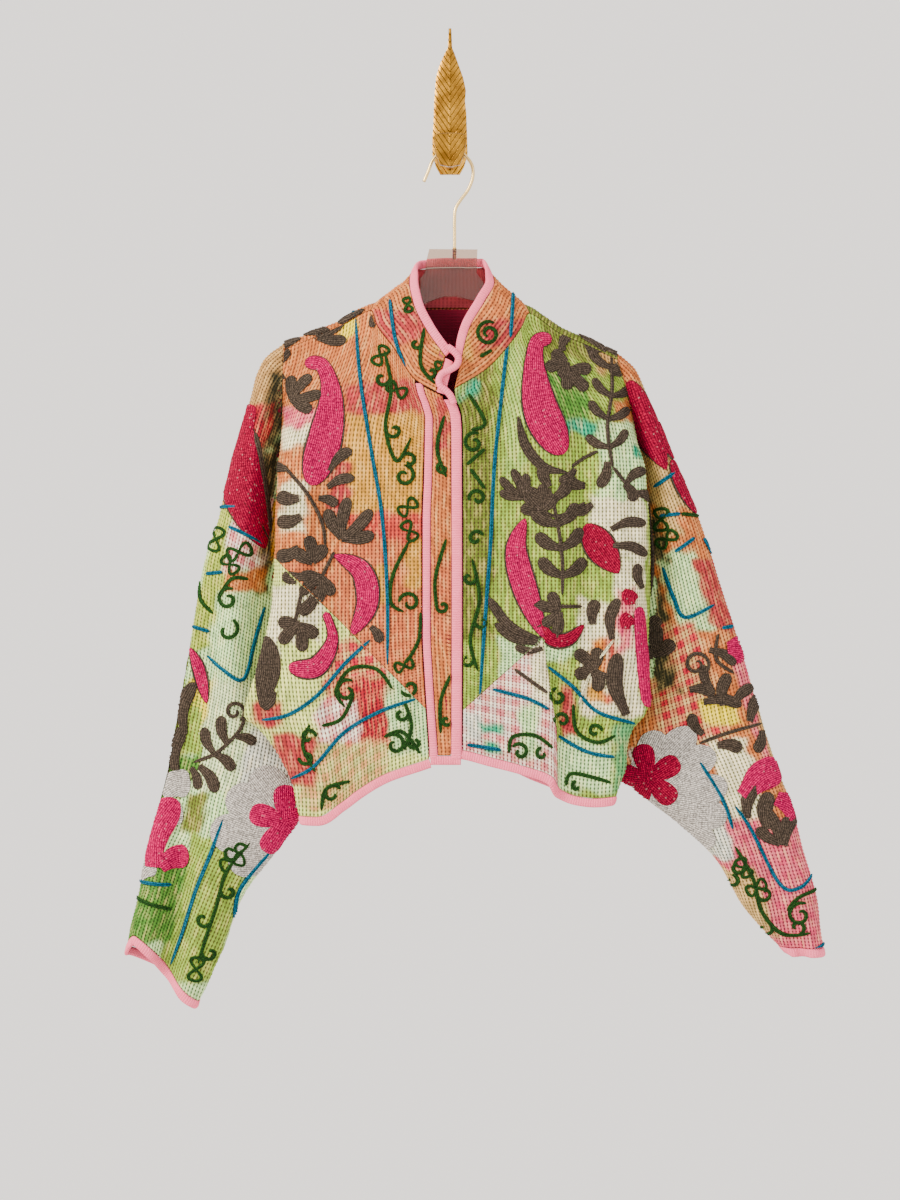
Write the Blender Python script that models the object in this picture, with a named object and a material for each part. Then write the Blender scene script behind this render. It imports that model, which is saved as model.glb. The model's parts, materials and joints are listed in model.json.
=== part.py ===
"""Short quilted jacket with wide batwing sleeves, hung on an acrylic hanger and a brass wall hook.

Lengths below are millimetres and become metres where a mesh is made. X runs to the viewer's
right, Y runs from the viewer towards the wall, Z runs up. The origin is on the wall face behind
the hook's two screws. "Right" and "left" are the wearer's, so the right front is at minus X.
"""

import functools
import math

import bmesh
import bpy
import numpy as np

MM = 0.001

# Driving sizes of the cloth
CLOTH = 2.4            # quilted wall, several layers of thin cotton
GAP = 0.3              # between sewn pieces
RIB = 0.45             # how far a quilted row swells or sinks
BINDING_WIDTH = 10.0
BINDING_THICK = 4.6
STRIP_WIDTH = 8.5
PLACKET_RAISE = 1.0
SHOULDER_HALF = 14.0   # half of the shoulder roll, front to back
SHOULDER_RISE = 9.0    # top of the roll over the shoulder seam
HANG_Y = -48.0         # plane of the hanger
FRONT_HEM_REFERENCE = -735.0
FRONT_TOP_REFERENCE = -250.0

# Colours, linear
PEACH = (0.62, 0.36, 0.20)
GREEN = (0.33, 0.45, 0.16)
CORAL = (0.55, 0.16, 0.13)
MINT = (0.50, 0.62, 0.42)
PINK = (0.85, 0.27, 0.37)
CLEAR = (0.86, 0.80, 0.78)
GOLD = (0.74, 0.56, 0.26)
BRASS = (0.50, 0.31, 0.06)

# One row of a side table is a height on the body: where the front folds over, where the armhole
# or side seam lies behind that fold, and the depths of the seam and of the layer that turns back.
SIDE_COLUMNS = ("z", "ridge", "seam", "seam_front", "seam_back", "turn")
RIGHT_SIDE = (
    (-251, -184.0, -184.0, -62, -34, -62),
    (-281, -183.0, -185.0, -56, -31, -60),
    (-310, -184.0, -186.0, -48, -28, -60),
    (-351, -187.0, -188.0, -42, -25, -60),
    (-400, -189.5, -190.0, -39, -22, -60),
    (-439, -191.0, -192.0, -38, -21, -60),
    (-488, -191.5, -193.0, -38, -20, -60),
    (-526, -195.0, -193.0, -38, -19, -62),
    (-561, -200.0, -192.5, -38, -19, -66),
    (-604, -208.0, -189.0, -38, -20, -70),
    (-635, -214.0, -184.0, -38, -22, -73),
    (-652, -216.0, -180.0, -38, -24, -74),
    (-668, -203.0, -176.0, -38, -26, -74),
    (-686, -190.0, -171.0, -38, -29, -74),
    (-704, -181.0, -165.0, -38, -32, -74),
    (-726, -171.0, -156.0, -38, -36, -74),
    (-741, -166.0, -149.0, -38, -38, -74),
    (-790, -158.0, -142.0, -38, -38, -72),
)
LEFT_SIDE = (
    (-262, 185.0, 185.0, -62, -34, -62),
    (-290, 196.0, 194.0, -54, -31, -60),
    (-319, 203.0, 202.0, -47, -28, -60),
    (-355, 209.0, 209.0, -42, -25, -60),
    (-384, 215.0, 213.0, -40, -23, -60),
    (-439, 218.0, 219.0, -38, -21, -60),
    (-474, 218.0, 221.0, -38, -20, -60),
    (-520, 213.0, 222.0, -38, -19, -60),
    (-560, 214.0, 220.0, -38, -19, -64),
    (-600, 217.0, 216.0, -38, -20, -70),
    (-635, 218.0, 209.0, -38, -22, -73),
    (-652, 213.0, 203.0, -38, -24, -74),
    (-668, 200.0, 194.0, -38, -28, -74),
    (-684, 194.0, 185.0, -38, -32, -74),
    (-700, 190.0, 173.0, -38, -36, -74),
    (-712, 188.0, 168.0, -38, -38, -74),
    (-724, 184.0, 165.0, -38, -38, -72),
    (-770, 172.0, 158.0, -38, -38, -70),
)

# A row of a sleeve table is a line across the sleeve, from its outer edge to the armhole seam or,
# past the underarm, to the sleeve's under seam. Depths are those of the front and back layers.
SLEEVE_COLUMNS = ("s", "outer_x", "outer_z", "under_x", "under_z", "mid", "front", "back", "crease", "sink")
RIGHT_SLEEVE = (
    (0.00, -184, -242, -184, -251, -48, -62, -34, 0.70, 0),
    (0.04, -206, -259, -185, -281, -46, -65, -31, 0.70, 0),
    (0.08, -217, -285, -186, -310, -45, -69, -28, 0.70, 0),
    (0.13, -225, -318, -188, -348, -44, -74, -24, 0.70, 0),
    (0.20, -239, -365, -190, -400, -43, -78, -20, 0.72, 0),
    (0.30, -256, -433, -193, -474, -42, -80, -17, 0.74, 0),
    (0.37, -272, -482, -193, -527, -42, -79, -15, 0.75, 5),
    (0.45, -282, -535, -190, -586, -41, -74, -14, 0.79, 11),
    (0.54, -292, -597, -180, -652, -41, -69, -14, 0.81, 14),
    (0.61, -301, -645, -169, -692, -39, -62, -14, 0.83, 15),
    (0.668, -308, -685, -149, -741, -38, -58, -14, 0.85, 15),
    (0.72, -315, -721, -168, -773, -38, -62, -14, 0.85, 17),
    (0.78, -325, -762, -196, -811, -39, -68, -13, 0.78, 17),
    (0.86, -339, -816, -230, -858, -40, -72, -13, 0.62, 20),
    (0.93, -348, -862, -249, -906, -40, -70, -13, 0.55, 22),
    (1.00, -359, -912, -273, -953, -40, -68, -14, 0.46, 22),
)
LEFT_SLEEVE = (
    (0.00, 185, -253, 185, -262, -48, -62, -34, 0.50, 0),
    (0.04, 206, -272, 194, -290, -46, -64, -31, 0.50, 0),
    (0.08, 217, -297, 202, -319, -45, -67, -28, 0.50, 0),
    (0.13, 231, -329, 209, -355, -44, -71, -24, 0.50, 0),
    (0.20, 250, -375, 216, -407, -43, -74, -20, 0.50, 2),
    (0.30, 277, -439, 221, -481, -42, -75, -17, 0.52, 3),
    (0.40, 299, -506, 222, -555, -42, -72, -15, 0.55, 5),
    (0.50, 321, -573, 211, -629, -41, -68, -14, 0.58, 6),
    (0.56, 333, -613, 200, -660, -39, -63, -14, 0.60, 5),
    (0.623, 346, -657, 174, -712, -38, -56, -14, 0.60, 4),
    (0.68, 358, -695, 204, -737, -38, -62, -14, 0.60, 4),
    (0.76, 377, -747, 253, -775, -40, -66, -13, 0.58, 6),
    (0.84, 392, -802, 295, -816, -40, -68, -13, 0.52, 8),
    (0.92, 407, -856, 325, -867, -40, -68, -13, 0.45, 9),
    (1.00, 415, -912, 364, -911, -40, -66, -14, 0.40, 8),
)

# The top line of each front: the neck seam, then the shoulder seam out to the armhole.
TOP_COLUMNS = ("p", "x", "y", "z")
RIGHT_TOP = (
    (-0.13, -15, -99.0, -300.5),
    (0.00, -38, -96.0, -287),
    (0.13, -61, -87.0, -252),
    (0.27, -80, -76.0, -226),
    (0.40, -88, -63.5, -207.5),
    (0.58, -123, -62.0, -226),
    (0.78, -154, -62.0, -239),
    (1.00, -184, -62.0, -251),
)
LEFT_TOP = (
    (0.00, 14, -97.0, -292),
    (0.12, 41, -91.0, -274),
    (0.22, 64, -84.0, -249),
    (0.31, 79, -75.0, -227),
    (0.40, 88, -63.5, -210.5),
    (0.58, 120, -62.0, -233),
    (0.78, 153, -62.0, -247),
    (1.00, 185, -62.0, -262),
)

# Height of the shoulder seams, and of the back neck between them.
SHOULDER_COLUMNS = ("x", "z")
SHOULDER_LINE = (
    (-184, -251.0),
    (-154, -239.0),
    (-123, -226.0),
    (-88, -207.5),
    (-60, -203.0),
    (0, -202.0),
    (60, -203.0),
    (88, -210.5),
    (122, -233.0),
    (154, -247.0),
    (185, -262.0),
)

# Across the back: shoulder line, neck point, neck seam. Turn is how much of the roll over the
# shoulder the column covers, 1 from the front seam and 0 where it starts at the back neck.
BACK_COLUMNS = ("p", "x", "turn")
BACK_TOP = (
    (-1.00, -184, 1.0),
    (-0.80, -154, 1.0),
    (-0.62, -123, 1.0),
    (-0.47, -88.5, 1.0),
    (-0.425, -82, 0.5),
    (-0.385, -75, 0.12),
    (-0.33, -62, 0.0),
    (0.00, 0, 0.0),
    (0.33, 62, 0.0),
    (0.385, 75, 0.12),
    (0.425, 82, 0.5),
    (0.47, 88.5, 1.0),
    (0.62, 122, 1.0),
    (0.80, 154, 1.0),
    (1.00, 185, 1.0),
)

# Depth of the front down its middle, and how much its sides lie back from that.
DEPTH_COLUMNS = ("z", "front", "side", "back")
DEPTHS = (
    (-200, -62, 2, -34),
    (-250, -84, 9, -30),
    (-300, -96, 15, -24),
    (-380, -98, 14, -17),
    (-500, -100, 10, -12),
    (-640, -103, 9, -11),
    (-780, -101, 9, -13),
)

# Hem of the fronts and back, from centre front or centre back to the side.
HEM_COLUMNS = ("x", "z")
RIGHT_HEM = (
    (-175, -762), (-150, -763), (-122, -748), (-101, -734), (-68, -716), (-35, -704), (-14, -697),
    (0, -695),
)
LEFT_HEM = (
    (0, -688), (14, -690), (43, -698), (76, -707), (109, -719), (120, -733), (141, -741), (160, -743),
    (185, -741),
)
BACK_HEM = (
    (-175, -760), (-146, -756), (-100, -732), (-50, -704), (0, -690), (50, -700), (100, -722), (158, -740),
    (185, -741),
)

# Soft folds of the fronts: a ridge or trough from one height to another.
FOLD_COLUMNS = ("x_top", "z_top", "x_low", "z_low", "half_width", "lift")
RIGHT_FOLDS = (
    (-158, -300, -166, -560, 13, -5.0),
    (-128, -290, -120, -640, 22, 3.5),
    (-70, -330, -60, -690, 26, -3.0),
    (-166, -590, -128, -740, 16, -5.0),
)
LEFT_FOLDS = (
    (176, -320, 196, -600, 14, -6.0),
    (146, -330, 152, -690, 15, 6.0),
    (110, -300, 128, -560, 22, -3.0),
    (60, -330, 52, -640, 26, 3.0),
    (172, -560, 176, -690, 16, -7.0),
)
PLEAT_X = (101.0, 116.0, 118.0)      # the lower left panel's edge laps over the front along this line
PLEAT_Z = (-569.0, -670.0, -760.0)
PLEAT_LIFT = 4.5
PLEAT_SOFT = 5.0

# Lower panels, as the corners of the cut seen from the front.
RIGHT_PANEL_CUT = ((-10, -662), (-121, -549), (-190, -483), (-260, -450), (-260, -800), (-10, -800))
LEFT_PANEL_CUT = ((5, -655), (15, -646), (101, -569), (116, -670), (118, -760), (118, -800), (5, -800))

# Bound edge of the collar, from the right front end round the back. Its seam is the body's neck line.
COLLAR_COLUMNS = ("t", "x", "y", "z")
COLLAR = (
    (-1.00, -5, -98, -262),
    (-0.80, -26, -93, -232),
    (-0.62, -40, -84, -203),
    (-0.45, -45, -66, -176),
    (-0.34, -43, -50, -164),
    (-0.22, -33, -38, -159),
    (0.00, 0, -32, -157),
    (0.22, 35, -38, -157),
    (0.34, 45, -50, -163),
    (0.45, 49, -66, -177),
    (0.62, 38, -82, -200),
    (0.80, 21, -90, -231),
    (1.00, 14, -94, -252),
)
COLLAR_BACK = 0.45     # share of each half of the collar that is sewn to the back
NECK_POINT = 0.47      # where the neck point lies across the back
RIGHT_OVERRUN = -0.13  # the collar runs on over the placket, past the right front's edge

# Inner pink strip of the placket, down its middle.
STRIP_COLUMNS = ("z", "x")
STRIP_LINE = (
    (-291, -34.0), (-300, -32.0), (-315, -26.5), (-330, -23.0), (-395, -24.0), (-440, -25.5), (-560, -25.5),
    (-613, -23.0), (-690, -18.0), (-700, -17.5),
)
STRIP_HEIGHTS = (-293.0, -698.0)
EDGE_WIDTH = 11.5      # doubled binding of the front edge
EDGE_THICK = 5.2
EDGE_LINE = ((-308, -2.0), (-316, 2.5), (-328, 6.0), (-345, 7.0), (-520, 7.5), (-700, 7.0))
EDGE_HEIGHTS = (-309.0, -345.0, -690.0)
FRONT_EDGE_LEFT = 14.0 # where the left front's cloth begins
PLACKET_TOP = ((0.0, -301.0), (0.5, -305.0), (1.0, -309.0))
PLACKET_FOOT_X = -8.0

FORWARDS = np.array((0.0, -1.0, 0.0))
BACKWARDS = np.array((0.0, 1.0, 0.0))
ACROSS = np.array((1.0, 0.0, 0.0))
RECEDE = 1.3           # a wall's inside stops this far short of its seams, so that corners stay clear
STEP = 0.001           # share of a surface stepped over to find its direction


def unit(vector):
    return vector / max(np.linalg.norm(vector), 1e-9)


def smooth(value):
    """Ease from 0 to 1."""
    t = min(1.0, max(0.0, value))
    return t * t * (3.0 - 2.0 * t)


def track(table, columns, name):
    """A smooth line through one column of a table against its first, with no overshoot."""
    rows = sorted(table)
    xs = [float(row[0]) for row in rows]
    ys = [float(row[columns.index(name)]) for row in rows]
    slopes = [(ys[k + 1] - ys[k]) / (xs[k + 1] - xs[k]) for k in range(len(xs) - 1)]
    ends = [slopes[0]]
    for before, after in zip(slopes, slopes[1:]):
        ends.append(0.0 if before * after <= 0 else 2.0 * before * after / (before + after))
    ends.append(slopes[-1])

    def value(x):
        x = min(xs[-1], max(xs[0], x))
        k = min(len(xs) - 2, max(0, int(np.searchsorted(xs, x)) - 1))
        step = xs[k + 1] - xs[k]
        t = (x - xs[k]) / step
        return (
            ys[k] * (1 + 2 * t) * (1 - t) ** 2
            + ends[k] * step * t * (1 - t) ** 2
            + ys[k + 1] * t * t * (3 - 2 * t)
            - ends[k + 1] * step * t * t * (1 - t)
        )

    return value


def tracks(table, columns):
    return {name: track(table, columns, name) for name in columns[1:]}


SIDES = {"right": tracks(RIGHT_SIDE, SIDE_COLUMNS), "left": tracks(LEFT_SIDE, SIDE_COLUMNS)}
SLEEVES = {"right": tracks(RIGHT_SLEEVE, SLEEVE_COLUMNS), "left": tracks(LEFT_SLEEVE, SLEEVE_COLUMNS)}
TOPS = {"right": tracks(RIGHT_TOP, TOP_COLUMNS), "left": tracks(LEFT_TOP, TOP_COLUMNS)}
SHOULDER = track(SHOULDER_LINE, SHOULDER_COLUMNS, "z")
BACK = tracks(BACK_TOP, BACK_COLUMNS)
DEPTH = tracks(DEPTHS, DEPTH_COLUMNS)
HEMS = {
    "right": track(RIGHT_HEM, HEM_COLUMNS, "z"),
    "left": track(LEFT_HEM, HEM_COLUMNS, "z"),
    "back": track(BACK_HEM, HEM_COLUMNS, "z"),
}
NECK = tracks(COLLAR, COLLAR_COLUMNS)
STRIP = track(STRIP_LINE, STRIP_COLUMNS, "x")
EDGE = track(EDGE_LINE, STRIP_COLUMNS, "x")
PLEAT = track(tuple(zip(PLEAT_Z, PLEAT_X)), ("z", "x"), "x")
UNDERARM = {"right": 0.668, "left": 0.623}
SIGN = {"right": -1.0, "left": 1.0}
FOLDS = {"right": RIGHT_FOLDS, "left": LEFT_FOLDS}


FOLD_FADE = 0.25       # share of a fold's length over which each end dies away
PLEAT_RISE = 20.0      # how far above its table the pleat begins
PLEAT_GROW = 70.0      # and the length over which it grows to its full lift
PLEAT_REACH = 6.0      # the step fades over this many soft widths to each side


def folds_at(side, x, z):
    """Push in depth of the soft folds at a place on a front."""
    push = 0.0
    for row in FOLDS[side]:
        fold = dict(zip(FOLD_COLUMNS, row))
        share = (fold["z_top"] - z) / (fold["z_top"] - fold["z_low"])
        middle = fold["x_top"] + (fold["x_low"] - fold["x_top"]) * share
        fade = smooth(share / FOLD_FADE + 0.5) * smooth((1.0 - share) / FOLD_FADE + 0.5)
        push += fold["lift"] * fade * math.exp(-(((x - middle) / fold["half_width"]) ** 2))
    pleat_top = PLEAT_Z[0] + PLEAT_RISE
    if side == "left" and z < pleat_top:
        across = (x - PLEAT(z)) / PLEAT_SOFT
        near = math.exp(-((across / PLEAT_REACH) ** 2))
        push += PLEAT_LIFT * math.tanh(across) * near * smooth((pleat_top - z) / PLEAT_GROW)
    return push


CHEST_HALF = 190.0


def front_depth(side, x, z):
    """Depth of the front's face."""
    lean = DEPTH["side"](z) * (abs(x) / CHEST_HALF) ** 2
    return DEPTH["front"](z) + lean + folds_at(side, x, z)


FACE_SHARE = 0.70      # share of a front's width that is its face; the rest turns back to the seam
RIDGE_SET = 15.0       # where the turn begins, in from the ridge
TURN_OUT = 3.0         # how far outside the seam the layer that turns back comes down to it


def front_section(side, p, z):
    """A point on the front at one height: the face, then the fold that turns back to the seam."""
    body = SIDES[side]
    start = FRONT_EDGE_LEFT if side == "left" else STRIP(z) - STRIP_WIDTH / 2 - 3 * GAP
    ridge = body["ridge"](z)
    turn_x = ridge - SIGN[side] * RIDGE_SET
    if p <= FACE_SHARE:
        x = start + (turn_x - start) * p / FACE_SHARE
        return np.array((x, front_depth(side, x, z), z))
    t = (p - FACE_SHARE) / (1 - FACE_SHARE)
    seam = np.array((body["seam"](z), body["seam_front"](z)))
    first = np.array((turn_x, front_depth(side, turn_x, z)))
    inward = seam[0] + SIGN[side] * TURN_OUT
    reach = (ridge - 0.125 * (first[0] + seam[0]) - 0.375 * inward) / 0.375
    second = np.array((reach, first[1]))
    third = np.array((inward, min(body["turn"](z), seam[1])))
    x, y = (
        first * (1 - t) ** 3 + second * 3 * t * (1 - t) ** 2 + third * 3 * t * t * (1 - t) + seam * t ** 3
    )
    return np.array((x, y, z))


NECK_SHARE = 0.40      # share of a front's top line that is neck seam
TOP_UNTIL = 0.30       # rows down to here still follow the top line
HEM_FROM = 0.55        # and rows from here on follow the hem


def row_height(q, top, hem):
    """Height of a row, level in the middle and following the top line and the hem at its ends."""
    level = FRONT_TOP_REFERENCE + (FRONT_HEM_REFERENCE - FRONT_TOP_REFERENCE) * q
    near_top = 1 - smooth(q / TOP_UNTIL)
    near_hem = smooth((q - HEM_FROM) / (1 - HEM_FROM))
    return level + near_top * (top - FRONT_TOP_REFERENCE) + near_hem * (hem - FRONT_HEM_REFERENCE)


def front_point(side, p, q):
    """A point on a front: p from the front edge to the seam, q from the top line to the hem."""
    top = np.array([TOPS[side][axis](p) for axis in "xyz"])
    if p >= NECK_SHARE:
        top[2] = SHOULDER(top[0])
    near_top = 1 - smooth(q / TOP_UNTIL)
    level = row_height(q, FRONT_TOP_REFERENCE, FRONT_HEM_REFERENCE)
    z = row_height(q, top[2], HEMS[side](front_section(side, p, level)[0]))
    point = front_section(side, p, z)
    point[:2] += (top[:2] - front_section(side, p, top[2])[:2]) * near_top
    return point


ROLL_LENGTH = 37.0     # along the cloth, over the shoulder from seam to back
ROLL_SHARE = 0.09      # share of the rows of the back that it takes
SIDE_SHARE = 0.20      # share of the back, at each side, over which it comes forward to the seam
BACK_WAVE = 2.0        # soft upright waves of the back
BACK_WAVE_X = 31.0
BACK_WAVE_TOP = -300.0
BACK_WAVE_GROW = 200.0
BACK_SETTLE = 70.0     # height over which the back leaves the roll for its own depth


def back_x(p, z):
    """Where a column of the back lies, between the two side seams."""
    right = SIDES["right"]["seam"](z)
    left = SIDES["left"]["seam"](z)
    return right + (left - right) * (p + 1) / 2


def back_depth(x, z, p):
    """Depth of the back, which comes forward at its seams."""
    side = "right" if x < 0 else "left"
    seam = SIDES[side]["seam_back"](z)
    edge = smooth((abs(p) - 1 + SIDE_SHARE) / SIDE_SHARE)
    wave = BACK_WAVE * math.sin(x / BACK_WAVE_X) * smooth((BACK_WAVE_TOP - z) / BACK_WAVE_GROW)
    return (DEPTH["back"](z) + wave) * (1 - edge) + seam * edge


def back_point(p, q):
    """A point on the back: p from the right seam to the left, q from the shoulder or neck seam down."""
    seam_x = BACK["x"](p)
    seam_z = SHOULDER(seam_x)
    turn = BACK["turn"](p)
    covered = ROLL_LENGTH * turn
    run = ROLL_LENGTH * min(1.0, q / ROLL_SHARE)
    if run < covered:
        angle = math.pi * turn * (1 - run / covered)
        y = HANG_Y + SHOULDER_HALF * math.cos(angle)
        z = seam_z + SHOULDER_RISE * math.sin(angle)
        return np.array((seam_x, y, z))
    if q <= ROLL_SHARE:
        z = seam_z - (run - covered)
        near_top = 1.0
    else:
        rest = (q - ROLL_SHARE) / (1 - ROLL_SHARE)
        near_top = 1 - smooth(rest / TOP_UNTIL)
        level = row_height(rest, FRONT_TOP_REFERENCE, FRONT_HEM_REFERENCE)
        z = row_height(rest, seam_z - (ROLL_LENGTH - covered), HEMS["back"](back_x(p, level)))
    x = back_x(p, z) + (seam_x - back_x(p, seam_z)) * near_top
    start = HANG_Y + SHOULDER_HALF
    settle = smooth((seam_z - z) / BACK_SETTLE)
    y = back_depth(x, z, p) + (start - back_depth(seam_x, seam_z, p)) * (1 - settle)
    return np.array((x, y, z))


VALLEY_FROM = 0.60     # where across the front of a sleeve the valley at the armhole begins
CLOSING = 0.12         # share of the sleeve over which its section closes, above the underarm
CREASE_HALF = 0.16     # half width of the long crease down the front of a sleeve
SQUARE_FROM = 0.12     # share of a sleeve over which its outer edge grows square
UNDERARM_EASE = 1.0    # how far the closed sleeve stands off the body's side seam
CUFF_SOFT = 0.24
CUFF_FROM = 0.80       # the front of a cuff steps up or down at its crease, from this share on
CUFF_STEP = {"right": 21.0, "left": 0.0}


def towards_viewer_or_wall(u, s):
    """Rough outward direction of a sleeve: its front half faces the viewer, its back half the wall."""
    return FORWARDS if u < 0 else BACKWARDS


def sleeve_point(side, u, s):
    """A point on a sleeve: u from the front seam round the outer edge to the back seam, s down it."""
    row = {name: line(s) for name, line in SLEEVES[side].items()}
    if s < UNDERARM[side]:
        row["under_x"] = SIDES[side]["seam"](row["under_z"])
        seam_front = SIDES[side]["seam_front"](row["under_z"])
        seam_back = SIDES[side]["seam_back"](row["under_z"])
    else:
        seam_front = row["mid"]
        seam_back = row["mid"]
    closed = smooth((s - UNDERARM[side] + CLOSING) / CLOSING)
    w = abs(u)
    open_a = math.cos(w * math.pi / 2)
    closed_a = (1 + math.cos(math.pi * w)) / 2
    square = smooth(s / SQUARE_FROM)
    rise_open = math.sin(w * math.pi / 2) ** (1 - 0.25 * square)
    rise_closed = max(0.0, math.sin(math.pi * w)) ** 0.85
    a = open_a * (1 - closed) + closed_a * closed
    lift = 0.0
    if u < 0:
        valley = smooth((w - VALLEY_FROM) / (1 - VALLEY_FROM))
        open_y = row["mid"] + (row["front"] - row["mid"]) * rise_open * (1 - valley)
        open_y += (seam_front - row["mid"]) * valley
        closed_y = row["mid"] + (row["front"] - row["mid"]) * rise_closed
        groove = math.exp(-(((a - row["crease"]) / CREASE_HALF) ** 2))
        sink = row["sink"] * groove
        step = smooth((s - CUFF_FROM) / (1 - CUFF_FROM)) * CUFF_STEP[side]
        lift = step * math.tanh((a - row["crease"]) / CUFF_SOFT) * smooth(w / 0.25) * smooth((1 - w) / 0.15)
    else:
        flat = math.sin(w * math.pi / 2) ** (1 - 0.2 * square)
        open_y = row["mid"] + (seam_back - row["mid"]) * flat
        closed_y = row["mid"] + (row["back"] - row["mid"]) * rise_closed
        sink = 0.0
    y = open_y * (1 - closed) + closed_y * closed + sink
    under_x = row["under_x"] + SIGN[side] * UNDERARM_EASE * closed
    x = under_x + (row["outer_x"] - under_x) * a
    z = row["under_z"] + (row["outer_z"] - row["under_z"]) * a + lift
    return np.array((x, y, z))


COLLAR_SWELL_X = 0.02  # the collar stands out a little between its seam and its bound edge
COLLAR_SWELL_Y = 0.03


def collar_point(t, w):
    """A point on the collar: t round the neck, w from the seam to the bound edge."""
    if abs(t) <= COLLAR_BACK:
        seam = back_point(NECK_POINT * t / COLLAR_BACK, 0.0)
    else:
        side = "right" if t < 0 else "left"
        end = RIGHT_OVERRUN if t < 0 else 0.0
        p = NECK_SHARE + (end - NECK_SHARE) * (abs(t) - COLLAR_BACK) / (1 - COLLAR_BACK)
        seam = np.array([TOPS[side][axis](p) for axis in "xyz"])
    top = np.array([NECK[axis](t) for axis in "xyz"])
    swell = np.array((seam[0] * COLLAR_SWELL_X, (seam[1] - HANG_Y) * COLLAR_SWELL_Y, 0.0))
    return seam + (top - seam) * w + swell * math.sin(math.pi * w)


SMOOTH_ANGLE = math.radians(40)


def material(name, colour, roughness, metallic=0.0):
    """A plain material in the piece's own colour."""
    made = bpy.data.materials.new(name)
    made.use_nodes = True
    shader = made.node_tree.nodes["Principled BSDF"]
    shader.inputs["Base Color"].default_value = (*colour, 1.0)
    shader.inputs["Roughness"].default_value = roughness
    shader.inputs["Metallic"].default_value = metallic
    made.diffuse_color = (*colour, 1.0)
    return made


CLOTH_ROUGHNESS = 0.85


def add_object(name, points, faces, colour, roughness=CLOTH_ROUGHNESS, metallic=0.0):
    """Make a closed mesh from points in millimetres, with its faces turned outwards."""
    mesh = bpy.data.meshes.new(name)
    mesh.from_pydata([tuple(float(c) * MM for c in point) for point in points], [], faces)
    bm = bmesh.new()
    bm.from_mesh(mesh)
    bmesh.ops.recalc_face_normals(bm, faces=bm.faces)
    bm.to_mesh(mesh)
    bm.free()
    mesh.shade_smooth()
    mesh.set_sharp_from_angle(angle=SMOOTH_ANGLE)
    mesh.materials.append(material(name, colour, roughness, metallic))
    made = bpy.data.objects.new(name, mesh)
    bpy.context.scene.collection.objects.link(made)
    return made


def frame_at(surface, u, v, span_u, span_v):
    """A surface's point, unit normal and two directions, from short steps that stay inside it."""
    step_u = STEP if u + STEP <= span_u else -STEP
    step_v = STEP if v + STEP <= span_v else -STEP
    here = surface(u, v)
    across = (surface(u + step_u, v) - here) / step_u
    down = (surface(u, v + step_v) - here) / step_v
    return here, unit(np.cross(across, down)), unit(across), unit(down)


def stitch(first, second):
    """Triangles between two runs of point numbers that share their ends but not their count."""
    faces = []
    a = 0
    b = 0
    while a < len(first) - 1 or b < len(second) - 1:
        next_a = (a + 1) / (len(first) - 1) if a < len(first) - 1 else 2.0
        next_b = (b + 1) / (len(second) - 1) if b < len(second) - 1 else 2.0
        if next_a <= next_b:
            faces.append((first[a], first[a + 1], second[b]))
            a += 1
        else:
            faces.append((first[a], second[b + 1], second[b]))
            b += 1
    return faces


def cloth_wall(name, surface, us, vs, colour, outward, keep_rows=0):
    """A wall of cloth over a surface: quilted rows outside, a plain and coarser inside.

    outward is a point's rough outward direction, a function of u and v. The inside keeps the
    first keep_rows rows and every second row below them.
    """
    frames = np.array([[frame_at(surface, u, v, us[-1], vs[-1]) for u in us] for v in vs])
    grid, normals, across, down = (frames[:, :, k] for k in range(4))
    middle_v = len(vs) // 2
    middle_u = len(us) // 2
    wanted = outward(us[middle_u], vs[middle_v])
    if np.dot(normals[middle_v, middle_u], wanted) < 0:
        normals = -normals
    rows = len(vs)
    columns = len(us)
    swell = np.array([(RIB if k % 2 else -RIB) if 0 < k < rows - 1 else 0.0 for k in range(rows)])
    outer = grid + normals * swell[:, None, None]
    inner_rows = [k for k in range(rows) if k <= keep_rows or (rows - 1 - k) % 2 == 0]
    inside = grid - normals * CLOTH
    inside[:, 0] += across[:, 0] * RECEDE
    inside[:, -1] -= across[:, -1] * RECEDE
    inside[0] += down[0] * RECEDE
    inside[-1] -= down[-1] * RECEDE
    inner = inside[inner_rows]
    points = list(outer.reshape(-1, 3)) + list(inner.reshape(-1, 3))
    faces = []
    for i in range(rows - 1):
        for j in range(columns - 1):
            a = i * columns + j
            faces.append((a, a + 1, a + columns + 1, a + columns))
    base = rows * columns
    for i in range(len(inner_rows) - 1):
        for j in range(columns - 1):
            a = base + i * columns + j
            faces.append((a, a + columns, a + columns + 1, a + 1))
    last_row = (rows - 1) * columns
    last_inner = base + (len(inner_rows) - 1) * columns
    for j in range(columns - 1):
        faces.append((j, j + 1, base + j + 1, base + j))
        faces.append((last_row + j, last_row + j + 1, last_inner + j + 1, last_inner + j))
    for edge in (0, columns - 1):
        dense = [i * columns + edge for i in range(rows)]
        coarse = [base + i * columns + edge for i in range(len(inner_rows))]
        for i in range(len(inner_rows) - 1):
            part = dense[inner_rows[i]:inner_rows[i + 1] + 1]
            faces.extend(stitch(part, coarse[i:i + 2]))
    return add_object(name, points, faces, colour)


BAND_CORNERS = 6
BAND_ROUGHNESS = 0.7


def lofted(rings):
    """Points and faces of a closed solid through rings with the same count of points."""
    count = len(rings[0])
    points = [point for ring in rings for point in ring]
    faces = [tuple(range(count)), tuple(range((len(rings) - 1) * count, len(rings) * count))]
    for i in range(len(rings) - 1):
        for k in range(count):
            a = i * count + k
            b = i * count + (k + 1) % count
            faces.append((a, b, b + count, a + count))
    return points, faces


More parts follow.
